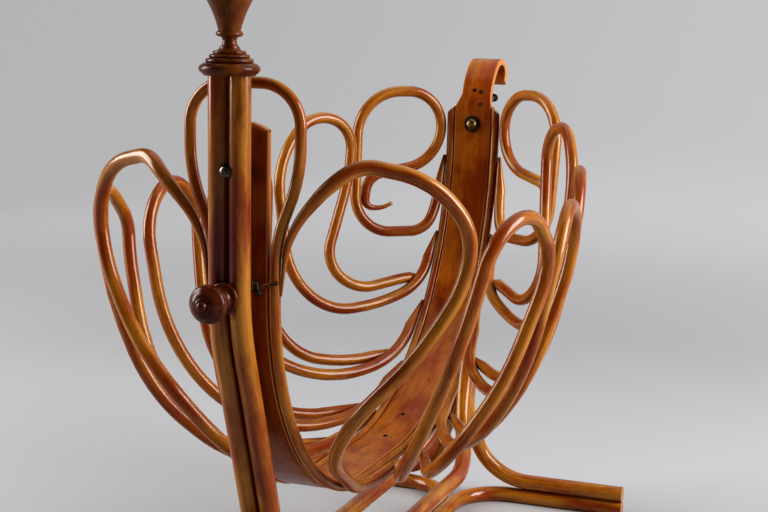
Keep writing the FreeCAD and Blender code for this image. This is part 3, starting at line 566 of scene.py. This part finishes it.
# The neck's heights are shares of the near bend's depth, and the slant's drop is in metres.
edges = {
    "rod": 13, "bow": 66, "bowRise": 92, "shoulder": 25, "neckTop": 0.07, "neckFoot": 0.54, "steps": 120,
    "slant": 0.9, "slantDrop": 0.003,
}
scrolls = {"width": 142, "rise": 50, "drop": 172, "hook": 5, "lean": 51.5, "fade": 34, "thin": 0.25}
edgeY = plank["width"] / 2 + edges["rod"] / 2 + stand["seatGap"]
legY = edgeY + edges["rod"] / 2 + loops["rod"] / 2 + stand["seatGap"]
tipY = legY + loops["rod"] + stand["seatGap"]
loopRadius, tipRadius = loops["rod"] / 2, loops["tip"] / 2


# A point of the basket's surface: share 0 lies at the plank's edge and 1 at the rim.
def hull(x, share, side):
    along = x + rim["widest"]
    end = 0 if along > 0 else 1
    part = min(abs(along) / rim["length"][end], 1)
    half = rim["halfWidth"] * (1 - part ** rim["power"][end]) ** (1 / rim["power"][end])
    top = rim["rise"][end] * part ** 2 - rim["drop"]
    foot = spineHeight(x)
    angle = math.radians(90 * share)
    return at(x, side * (legY + (half - legY) * math.sin(angle)), foot + (top - foot) * (1 - math.cos(angle)))


def besideSpine(station, y, side):
    x, z = spineAt(station)
    return at(x, side * y, z)


def tipStation(number):
    return plank["farBend"] * math.pi / 2 - loops["firstTip"] - loops["tipPitch"] * number


def farLeg(number, side, y):
    x = loops["crowns"][number] + loops["halfWidth"]
    tip = tipStation(number)
    leg = [hull(x, loops["shoulderShare"], side)]
    leg += [hull(x + step, share, side) for step, share in loops["farLines"][number]]
    if number == 0:
        leg.append(hull(spineAt(tip)[0] - loops["tipApproach"], loops["approachShare"], side))
    stops = [loops["farLanding"][number]]
    if number == nearLoop["number"]:
        stops = [*nearLoop["stops"], *stops, 0]
    return leg + [besideSpine(tip - stop * loops["tipPitch"], y, side) for stop in stops]


def sideLoop(number, side):
    crown = loops["crowns"][number]
    x = crown - loops["halfWidth"]
    tip = tipStation(number)
    stops = (-loops["pastTip"], loops["nearLanding"][number])
    nearLeg = [besideSpine(tip - stop * loops["tipPitch"], legY, side) for stop in stops]
    nearLeg += [hull(x + step, share, side) for step, share in reversed(loops["nearLines"][number])]
    top = [hull(x, loops["shoulderShare"], side), hull(crown, loops["crownShare"], side)]
    return nearLeg + top + farLeg(number, side, tipY)


neckTop, neckFoot = edges["neckTop"] * nearZ, edges["neckFoot"] * nearZ
neckSlope = math.atan2(edges["bow"] - edgeY, neckTop - neckFoot)


# The loop at the near end, whose near leg runs out along the edge rod below the bow's neck.
def cornerLoop(side):
    clear = edges["bow"] + edges["rod"] / 2 + loopRadius
    seatZ = neckFoot + nearLoop["seat"] * (neckTop - neckFoot)
    seatY = edgeY + (seatZ - neckFoot) * math.tan(neckSlope)
    seatY += (edges["rod"] / 2 + loopRadius + stand["seatGap"]) / math.cos(neckSlope)
    crown = loops["crowns"][nearLoop["number"]]
    return [
        at(-plank["x"], side * legY, nearLoop["foot"] * nearZ), at(-plank["x"], side * seatY, seatZ),
        at(-plank["x"], side * nearLoop["aside"] * clear, nearLoop["asideDrop"] * nearZ),
        hull(crown - nearLoop["crownBack"], loops["crownShare"], side),
        hull(crown + nearLoop["crownOn"] * loops["halfWidth"], loops["crownShare"], side),
    ] + farLeg(nearLoop["number"], side, legY)


# Its near leg thins from the bow's neck to its end and stays against the edge rod.
def longTaper(line, radii, side):
    high, low = at(0, 0, nearLoop["taperTop"] * nearZ).z, line[0].z
    thin, count = nearLoop["thin"], nearLoop["taperSteps"]
    steps = [line[0] + (line[1] - line[0]) * k / count for k in range(count)]
    line, radii = steps + line[1:], [radii[0]] * count + radii[1:]
    for k, spot in enumerate(line):
        upright = abs(spot.x - line[0].x) < nearLoop["upright"]
        if spot.z < high and upright and k < len(line) // 3:
            share = (spot.z - low) / (high - low)
            radii[k] = loopRadius * (thin + (1 - thin) * share)
            press = nearLoop["press"] * math.sin(math.pi * share)  # closes the joint with the edge rod
            inset = loopRadius - radii[k] + press
            line[k] = spot + Vector((0, -side, 0)) * inset * millimetre
    return line, radii


# A scroll stands on a slanted surface: its turns are places out from the plank's edge and heights.
def scrollPath(side):
    width, top, low = scrolls["width"], scrolls["rise"], -scrolls["drop"]
    turns = (
        (0, 0.3 * low), (0, 0.75 * low), (0.1 * width, low), (0.94 * width, low), (width, top),
        (0.01 * width, top), (0.01 * width, 0.36 * low), (0.87 * width, 0.49 * low),
        (0.87 * width, 0.77 * low), (0.66 * width, 0.79 * low), (0.54 * width, 0.74 * low),
    )
    lean = math.radians(scrolls["lean"])
    points = []
    for out, z in turns:
        drop = min(max(farZ - z, 0), plank["farBend"])
        reach = farX + math.sqrt(plank["farBend"] ** 2 - drop ** 2)
        points.append(at(reach - out * math.cos(lean), side * (legY + out * math.sin(lean)), z))
    return points


# From the bow's top round the near plank, along the plank's edge, to the far shoulder.
def edgePath(side):
    bow, rise, steps = edges["bow"], edges["bowRise"], edges["steps"]
    points = bentPath([
        at(-plank["x"], side * stand["seatGap"] / 2, rise), at(-plank["x"], side * bow, rise),
        at(-plank["x"], side * bow, neckTop), at(-plank["x"], side * edgeY, neckFoot),
        at(-plank["x"], side * edgeY, nearZ),
    ])
    foot = -(farX - nearX) - plank["nearBend"] * math.pi / 2
    end = plank["farBend"] * math.pi / 2
    points += [besideSpine(foot + (end - foot) * k / steps, edgeY, side) for k in range(1, steps + 1)]
    return points + [at(plank["x"], side * edgeY, edges["shoulder"])]


basketLines, basketNodes = [], []
for word, side in (("left", 1), ("right", -1)):
    inward = Vector((0, -side, 0))
    basketLines.append(evenRod(edgePath(side), edges["rod"] / 2))
    basketNodes.append("edge_rod_" + word)
    for number in range(len(loops["crowns"])):
        if number == nearLoop["number"]:
            line, radii = tippedRod(bentPath(cornerLoop(side)), loopRadius, tipRadius, inward)
            line, radii = longTaper(line, radii, side)
        else:
            path = bentPath(sideLoop(number, side))
            line, radii = tippedRod(path, loopRadius, tipRadius, inward, loops["root"] / 2)
        basketLines.append((line, radii))
        basketNodes.append("loop_%s_%d" % (word, number + 1))
    hook, fade, thin = scrolls["hook"] / 2, scrolls["fade"], scrolls["thin"]
    line, radii = tippedRod(bentPath(scrollPath(side)), loopRadius, hook, root=hook, rootLean=inward)
    for k in range(1, fade):  # the hook thins over its last bends
        radii[-k] = min(radii[-k], loopRadius * (thin + (1 - thin) * k / fade))
    basketLines.append((line, radii))
    basketNodes.append("scroll_" + word)
basketRods = rods("basketRods", basketLines, loops["sides"], honeyWood)
shoulderZ = at(0, 0, edges["shoulder"]).z
for spot in basketRods.data.vertices:  # slants the edge rods' far tops
    if abs(spot.co.z - shoulderZ) < 1e-5 and abs(abs(spot.co.y) / millimetre - edgeY) < edges["rod"]:
        spot.co.z += (edgeY * millimetre - abs(spot.co.y)) * edges["slant"] - edges["slantDrop"]
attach(basketRods, "basket")
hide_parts(*basketNodes)
print("basket rods made")

# Rods of the stand.
frameRadius = stand["rod"] / 2
frameY = frameRadius + stand["seatGap"] / 2
leanX = stand["postHalf"] - stand["leanIn"]
leanRun = Vector((-stand["leanIn"], 0, stand["straight"] - stand["leanDrop"])).normalized()
leanOut = Vector((-leanRun.z, 0, leanRun.x))
floorZ = frameRadius - stand["floorFlat"] - stand["pivotHeight"]
footZ = floorZ + stand["rod"] + stand["seatGap"]
footX = leanX + 2 * stand["rod"]


def framePath(side):
    half = [
        (stand["postHalf"], frameY, -stand["straight"]), (leanX, frameY, -stand["leanDrop"]),
        (stand["runHalf"], stand["runSpread"], -stand["runDrop"]),
    ]
    points = [at(-stand["postHalf"], side * frameY, stand["postTop"])]
    points += [at(-x, side * y, z) for x, y, z in half] + [at(x, side * y, z) for x, y, z in reversed(half)]
    return points + [at(stand["postHalf"], side * frameY, stand["farPostTop"])]


def footPath(end, side):
    seat = Vector((leanX, frameY, -stand["leanDrop"])) + leanOut * (stand["rod"] + stand["seatGap"])
    reach = stand["footReach"]
    points = [
        seat - leanRun * stand["footOverlap"], seat,
        (footX, stand["footTurn"] * reach, footZ), (footX, reach, footZ),
    ]
    return [at(end * x, side * y, z) for x, y, z in points]


def floorPath(side):
    reach = stand["footReach"]
    corners = ((-footX, reach), (-footX, frameY), (footX, frameY), (footX, reach))
    return [at(x, side * y, floorZ) for x, y in corners]


standLines, standNodes = [], []
for word, side in (("left", 1), ("right", -1)):
    standLines.append(evenRod(bentPath(framePath(side), stand["postBend"]), frameRadius))
    standLines.append(evenRod(bentPath(floorPath(side), stand["footBend"]), frameRadius))
    standNodes += ["frame_rod_" + word, "floor_rod_" + word]
    for endWord, end in (("near", -1), ("far", 1)):
        standLines.append(evenRod(bentPath(footPath(end, side)), frameRadius))
        standNodes.append("foot_%s_%s" % (endWord, word))
standRods = rods("standRods", standLines, stand["sides"], honeyWood)
for spot in standRods.data.vertices:  # the flats under the floor rods
    spot.co.z = max(spot.co.z, 0)
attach(standRods, "stand")
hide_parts(*standNodes)
print("stand rods made")

# Turned pieces: each step of an outline gives the place along the axis, the radius and, where it is curved,
# the bulge of the line that leads there.
turnedSizes = {
    "collar": (
        (0, 0), (0, 26.5), (1.2, 27.6, 0.3), (13, 27.2, 5.2), (13.2, 24.2), (18, 23.6, 1.6), (18.2, 20.6),
        (22.2, 19.8, 1.5), (22.4, 17), (26, 15.6, 1.3), (26.2, 13), (30, 10.4, -0.6), (30, 0),
    ),
    "finial": (
        (-4, 0), (-4, 9.2), (1, 9.2), (5, 7.6, -0.5), (10, 9.2, -0.7), (10.2, 11.4), (16.3, 12.4, 2.6),
        (16.8, 11.8), (48, 24.2, -1.2), (54, 24.6, 0.5), (72.6, 19, 3.2), (81.4, 7.5, 1.4), (85.8, 5.5, -0.4),
        (88, 5.5), (106, 5.6, 6.2), (110, 0, 0.8),
    ),
    "knob": (
        (0, 0), (0, 15.6), (1.5, 17.2, 0.3), (5, 17.2, 0.4), (6.6, 14.6, 0.3), (8.4, 11.2, -0.5),
        (16, 9.6, -0.5), (24, 11.5, -1), (31, 18.6, -0.6), (33.5, 20.4, 0.3), (35.5, 20.6, 0.3),
        (44, 17.2, 1.6), (50, 8.4, 1), (50.8, 6.9, 0.1), (50.4, 5.5), (53, 5.1, 0.3), (55.5, 3.5, 0.5),
        (57, 0, 0.4),
    ),
}
turning = {"bulgeSteps": 8, "segments": 72, "seed": 60, "sharp": 38}


def turnedProfile(outline):
    profile = [outline[0][:2]]
    for (a0, r0, *_), (a1, r1, *bulge) in zip(outline, outline[1:]):
        steps = turning["bulgeSteps"] if bulge else 1
        length = math.hypot(a1 - a0, r1 - r0)
        for step in range(1, steps + 1):
            t = step / steps
            lift = 4 * t * (1 - t) * (bulge[0] if bulge else 0) / length
            profile.append((a0 + (a1 - a0) * t - (r1 - r0) * lift, r0 + (r1 - r0) * t + (a1 - a0) * lift))
    return profile


def turnedPiece(name, outline, axis, where, finish, segments=turning["segments"]):
    turn = axis.to_track_quat("Z", "Y")
    mesh = bmesh.new()
    alongLayer, acrossLayer, seedLayer = grainSpace(mesh)
    rings = []
    for along, radius in turnedProfile(outline):
        ring = []
        for k in range(segments if radius > 1e-6 else 1):
            angle = 2 * math.pi * k / segments
            u, v = max(radius, 0) * math.cos(angle), max(radius, 0) * math.sin(angle)
            spot = mesh.verts.new(where + turn @ Vector((u, v, along)) * millimetre)
            spot[alongLayer], spot[seedLayer] = along * millimetre, turning["seed"]
            spot[acrossLayer] = (u * millimetre, v * millimetre, 0)
            ring.append(spot)
        rings.append(ring)
    for low, high in zip(rings, rings[1:]):
        for k in range(segments):
            after = k + 1
            face = list(dict.fromkeys((
                low[k % len(low)], low[after % len(low)], high[after % len(high)], high[k % len(high)],
            )))
            if len(face) > 2:
                mesh.faces.new(face)
    bmesh.ops.recalc_face_normals(mesh, faces=mesh.faces)
    data = meshData(name, mesh)
    data.shade_smooth()
    data.set_sharp_from_angle(angle=math.radians(turning["sharp"]))
    data.materials.append(finish)
    return newObject(name, data)


postTop = at(-stand["postHalf"], 0, stand["postTop"])
upward = Vector((0, 0, 1))
collarHeight = turnedSizes["collar"][-1][0]
collarTop = postTop + upward * collarHeight * millimetre
collar = turnedPiece("turnedCollar", turnedSizes["collar"], upward, postTop, turnedWood)
finial = turnedPiece("turnedFinial", turnedSizes["finial"], upward, collarTop, turnedWood)
knobBack = at(-stand["postHalf"] - stand["rod"] / 2 - stand["seatGap"], 0, -stand["spindleDrop"])
knob = turnedPiece("turnedKnob", turnedSizes["knob"], Vector((-1, 0, 0)), knobBack, darkWood)
for piece, body, node, slot in (
    (collar, "stand", "collar", "honey_wood"), (finial, "stand", "finial", "honey_wood"),
    (knob, "catch", "catch_knob", "dark_wood"),
):
    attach(piece, body)
    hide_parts(node)

# A boss and a sleeve on the catch arm. The boss is oval, so that it clears the post when the arm turns.
catchArm = {
    "slope": 18, "bossFrom": 22, "bossFlat": 0.62, "sleeveFrom": 28.5, "segments": 32,
    "boss": ((0, 0), (0, 6), (1, 8, 0.2), (5, 8.4, 0.3), (6.6, 6.4, 0.3), (7, 0)),
    "sleeve": ((0, 0), (0, 2.8), (20, 2.7), (23, 1.6, 0.4), (23.6, 0, 0.2)),
}
armLow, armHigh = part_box("catch_arm")
armSlope = math.radians(catchArm["slope"])
armWay = Vector((0, -math.cos(armSlope), math.sin(armSlope)))
armRoot = Vector(((armLow.x + armHigh.x) / 2, 0, at(0, 0, -stand["spindleDrop"]).z))


def armPiece(name, key, finish):
    start = armRoot + armWay * catchArm[key + "From"] * millimetre
    return turnedPiece(name, catchArm[key], armWay, start, finish, catchArm["segments"])


armBoss = armPiece("armBoss", "boss", darkIron)
armSleeve = armPiece("armSleeve", "sleeve", brownIron)
for spot in armBoss.data.vertices:
    spot.co.x = armRoot.x + (spot.co.x - armRoot.x) * catchArm["bossFlat"]
# A stud on the back of the strap, under its curl.
stud = {
    "y": -24, "z": 41, "out": 6, "segments": 32,
    "outline": ((-9, 0), (-9, 4), (21, 4), (21.2, 6.2), (26, 6.2, 0.3), (29, 3.6, 0.7), (30, 0, 0.3)),
}
studFoot = at(strapAt(stud["z"])[0] + stud["out"], stud["y"], stud["z"])
strapStud = turnedPiece("strapStud", stud["outline"], Vector((1, 0, 0)), studFoot, steel, stud["segments"])
for piece, body in ((armBoss, "catch"), (armSleeve, "catch"), (strapStud, "basket")):
    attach(piece, body)
print("turned pieces made")

# Slotted screw heads on the plank's inner face: places along the plank, and heights and sides on the strap.
screws = {
    "radius": 3.1, "sunk": 1, "rim": 0.2, "rise": 1.2, "top": 0.45, "bulge": 0.4, "slot": 0.9,
    "slotDepth": 1.4, "segments": 20, "stations": (40.6, 114.7), "strap": ((52, 0), (50, -11)),
}


# Heads set on points that carry the way that a head faces.
def screwTree():
    tree, given = geometryTree("screwHeads", {
        "Geometry": "Geometry", "Head": "Object", "Size": "Float", "Finish": "Material",
    })
    aim = namedVector(tree, "aim")
    heads = addNode(tree, "GeometryNodeInstanceOnPoints", {
        "Points": addNode(tree, "GeometryNodeMeshToPoints", {0: given["Geometry"]}).outputs[0],
        "Instance": addNode(tree, "GeometryNodeObjectInfo", {"Object": given["Head"]}).outputs["Geometry"],
        "Rotation": addNode(tree, "FunctionNodeAlignRotationToVector", {"Vector": aim}, axis="Z").outputs[0],
        "Scale": given["Size"],
    }).outputs[0]
    closeTree(tree, heads, given["Finish"])
    return tree


def innerFace(x, z, ahead, y):
    inward = Vector((-ahead.y, 0, ahead.x))
    return at(x, y, z) + inward * plank["thick"] / 2 * millimetre, inward


def screwSpots():
    spots = [innerFace(*spineAt(station), spineAhead(station), 0) for station in screws["stations"]]
    return spots + [innerFace(*strapAt(rise)[:3], y) for rise, y in screws["strap"]]


def slottedHead():
    radius, sunk, rim, rise = (screws[key] for key in ("radius", "sunk", "rim", "rise"))
    dome = (rise, radius * screws["top"], screws["bulge"])
    outline = ((-sunk, 0), (-sunk, radius), (rim, radius), dome, (rise + rim, 0))
    head = turnedPiece("screwHead", outline, upward, Vector(), darkIron, screws["segments"])
    bar = bmesh.new()
    barSize = Vector((3 * radius, screws["slot"], screws["slotDepth"])) * millimetre
    barPlace = Matrix.Translation((0, 0, rise * millimetre)) @ Matrix.Diagonal((*barSize, 1))
    bmesh.ops.create_cube(bar, size=1, matrix=barPlace)
    barPiece = newObject("slotBar", meshData("slotBar", bar))
    cutAway(head, "slot", barPiece)
    head = plainMesh(head, "slottedHead")
    bpy.data.objects.remove(barPiece)
    return head


def screwHeads():
    head, spots, tree = slottedHead(), screwSpots(), screwTree()
    data = bpy.data.meshes.new("screwSpots")
    data.from_pydata([place for place, aim in spots], [], [])
    aims = [part for place, aim in spots for part in aim]
    data.attributes.new("aim", "FLOAT_VECTOR", "POINT").data.foreach_set("vector", aims)
    carrier = newObject("screwSpots", data)
    modifier = carrier.modifiers.new("screwHeads", "NODES")
    modifier.node_group = tree
    for name, value in (("Head", head), ("Size", 1.0), ("Finish", darkIron)):
        modifier[socketId(tree, name)] = value
    piece = plainMesh(carrier, "plankScrews")
    bpy.data.objects.remove(head)
    return piece


plankScrews = screwHeads()
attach(plankScrews, "basket")
print("screws made")

# The metal pieces keep the construction's shape.
finishes = {
    "catch_rosette": darkIron, "catch_arm": brownIron, "catch_spindle": darkIron,
    "strap_bolt": steel, "strap_nut": steel,
}
for endWord in ("near", "far"):
    finishes["pivot_bolt_" + endWord] = steel
    finishes["pivot_spacer_" + endWord] = darkIron
    finishes["pivot_washer_" + endWord] = darkIron
    finishes["pivot_nut_" + endWord] = oldBrass
    finishes["pivot_bush_" + endWord] = oldBrass
for name, finish in finishes.items():
    nodes[name].data.materials.clear()
    nodes[name].data.materials.append(finish)
print("metal pieces finished")

# Painted shade in the grooves: how closely other surfaces stand round each point, which darkens the wood
# between the rods as a painted occlusion shade.
occlusionShade = {"reach": 0.014, "lift": 0.0002, "spread": 0.9}  # lengths in metres


def paintGrooveShade(pieces):
    reach = occlusionShade["reach"]
    spots, faces = [], []
    for piece in pieces:
        start = len(spots)
        spots += [spot.co for spot in piece.data.vertices]
        faces += [[start + k for k in face.vertices] for face in piece.data.polygons]
    surface = BVHTree.FromPolygons(spots, faces)
    for piece in pieces:
        values = []
        for spot in piece.data.vertices:
            side = spot.normal.orthogonal().normalized()
            other = spot.normal.cross(side)
            aims = [spot.normal]
            aims += [spot.normal + way * occlusionShade["spread"] for way in (side, -side, other, -other)]
            closeness = 0
            for aim in aims:
                hit = surface.ray_cast(spot.co + spot.normal * occlusionShade["lift"], aim.normalized(), reach)
                closeness += 0 if hit[3] is None else 1 - hit[3] / reach
            values.append(closeness / len(aims))
        layer = piece.data.attributes.new("grooveShade", "FLOAT", "POINT")
        layer.data.foreach_set("value", values)


paintGrooveShade([spinePlank, basketRods, standRods, collar, finial, knob])
print("grooves marked")

# Floor and backdrop, one sheet that sweeps up behind, in metres. Away from the object the paper fades and
# gives its own even light, a little less on the left.
paper = {
    "front": -6.0, "far": 3.0, "bend": 3.0, "halfWidth": 9.0, "tall": 6.0, "bendSteps": 15,
    "glow": (1.5, 4.1), "fade": (1.9, 4.5), "level": (-1.5, 3.2, 0.44, 0.37), "light": (0.985, 0.985, 1, 1),
    "color": (0.47, 0.47, 0.48, 1), "faded": (0.03, 0.03, 0.03, 1), "roughness": 0.8,
}


def paperMaterial():
    material, tree, shader = newMaterial("paper")
    space = addNode(tree, "ShaderNodeTexCoord").outputs["Object"]
    away = addNode(tree, "ShaderNodeVectorMath", {0: space}, operation="LENGTH").outputs["Value"]
    side = addNode(tree, "ShaderNodeSeparateXYZ", {0: space}).outputs[1]
    level = addNode(tree, "ShaderNodeMath", {
        0: graded(tree, away, *paper["glow"]), 1: graded(tree, side, *paper["level"]),
    }, operation="MULTIPLY").outputs[0]
    color = mixColor(tree, graded(tree, away, *paper["fade"]), paper["color"], paper["faded"])
    tree.links.new(color, shader.inputs["Base Color"])
    tree.links.new(level, shader.inputs["Emission Strength"])
    shader.inputs["Emission Color"].default_value = paper["light"]
    shader.inputs["Roughness"].default_value = paper["roughness"]
    shader.inputs["Specular IOR Level"].default_value = 0
    return material


def backdrop():
    sheet = bmesh.new()
    bend, far, wide = paper["bend"], paper["far"], paper["halfWidth"]
    angles = [math.radians(90 * k / paper["bendSteps"]) for k in range(1, paper["bendSteps"] + 1)]
    profile = [(paper["front"], 0), (far, 0)]
    profile += [(far + bend * math.sin(angle), bend * (1 - math.cos(angle))) for angle in angles]
    profile.append((far + bend, paper["tall"]))
    rows = [[sheet.verts.new((x, y, z)) for y in (-wide, wide)] for x, z in profile]
    for low, high in zip(rows, rows[1:]):
        sheet.faces.new((low[0], high[0], high[1], low[1]))
    bmesh.ops.recalc_face_normals(sheet, faces=sheet.faces)
    data = meshData("backdrop", sheet)
    data.shade_smooth()
    data.materials.append(paperMaterial())
    newObject("backdrop", data)


backdrop()
# The camera's place in millimetres, its turns in degrees and its lens.
view = {"x": -1822, "y": -691, "z": 156, "yaw": 20.59, "pitch": 9.09, "roll": -0.99, "lens": 67.97}
yaw, pitch, roll = (math.radians(view[key]) for key in ("yaw", "pitch", "roll"))
ahead = Vector((math.cos(pitch) * math.cos(yaw), math.cos(pitch) * math.sin(yaw), -math.sin(pitch)))
right = Vector((math.sin(yaw), -math.cos(yaw), 0))
down = ahead.cross(right)
right, down = right * math.cos(roll) + down * math.sin(roll), down * math.cos(roll) - right * math.sin(roll)
camera = newObject("camera", bpy.data.cameras.new("camera"))
camera.data.lens = view["lens"]
facing = Matrix((right, -down, -ahead)).transposed().to_4x4()
camera.matrix_world = Matrix.Translation(at(view["x"], view["y"], view["z"])) @ facing
bpy.context.scene.camera = camera

# Lights: place, target, width, height, power and color.
lights = {
    "leftBox": ((-0.7, 2.7, 1.5), (0, 0, 0.45), 1.6, 2.2, 72, (1, 0.985, 0.96)),
    "rightBox": ((0.2, -2.8, 1.6), (0, 0, 0.45), 1.6, 2.2, 98, (0.98, 0.985, 1)),
    "overhead": ((1.4, -0.4, 3.4), (1.4, -0.4, 0), 4.0, 4.0, 38, (1, 1, 1)),
}
for name, (place, target, wide, tall, power, color) in lights.items():
    data = bpy.data.lights.new(name, "AREA")
    data.shape, data.size, data.size_y, data.energy, data.color = "RECTANGLE", wide, tall, power, color
    light = newObject(name, data)
    light.location = place
    light.rotation_euler = (Vector(target) - Vector(place)).to_track_quat("-Z", "Y").to_euler()

# The room is dim, and looks pale to the camera beyond the paper.
room = {"dim": ((0.9, 0.93, 1, 1), 0.06), "pale": (paper["light"], 0.4)}
world = bpy.data.worlds.new("studio")
world.use_nodes = True
sky = world.node_tree
dim = sky.nodes["Background"]
dim.inputs[0].default_value, dim.inputs[1].default_value = room["dim"]
pale = addNode(sky, "ShaderNodeBackground", dict(enumerate(room["pale"])))
seen = addNode(sky, "ShaderNodeLightPath").outputs["Is Camera Ray"]
both = addNode(sky, "ShaderNodeMixShader", {0: seen, 1: dim.outputs[0], 2: pale.outputs[0]})
sky.links.new(both.outputs[0], sky.nodes["World Output"].inputs[0])
bpy.context.scene.world = world
bpy.context.scene.view_settings.view_transform = "Standard"
bpy.context.scene.view_settings.look = "High Contrast"
print("stage made")
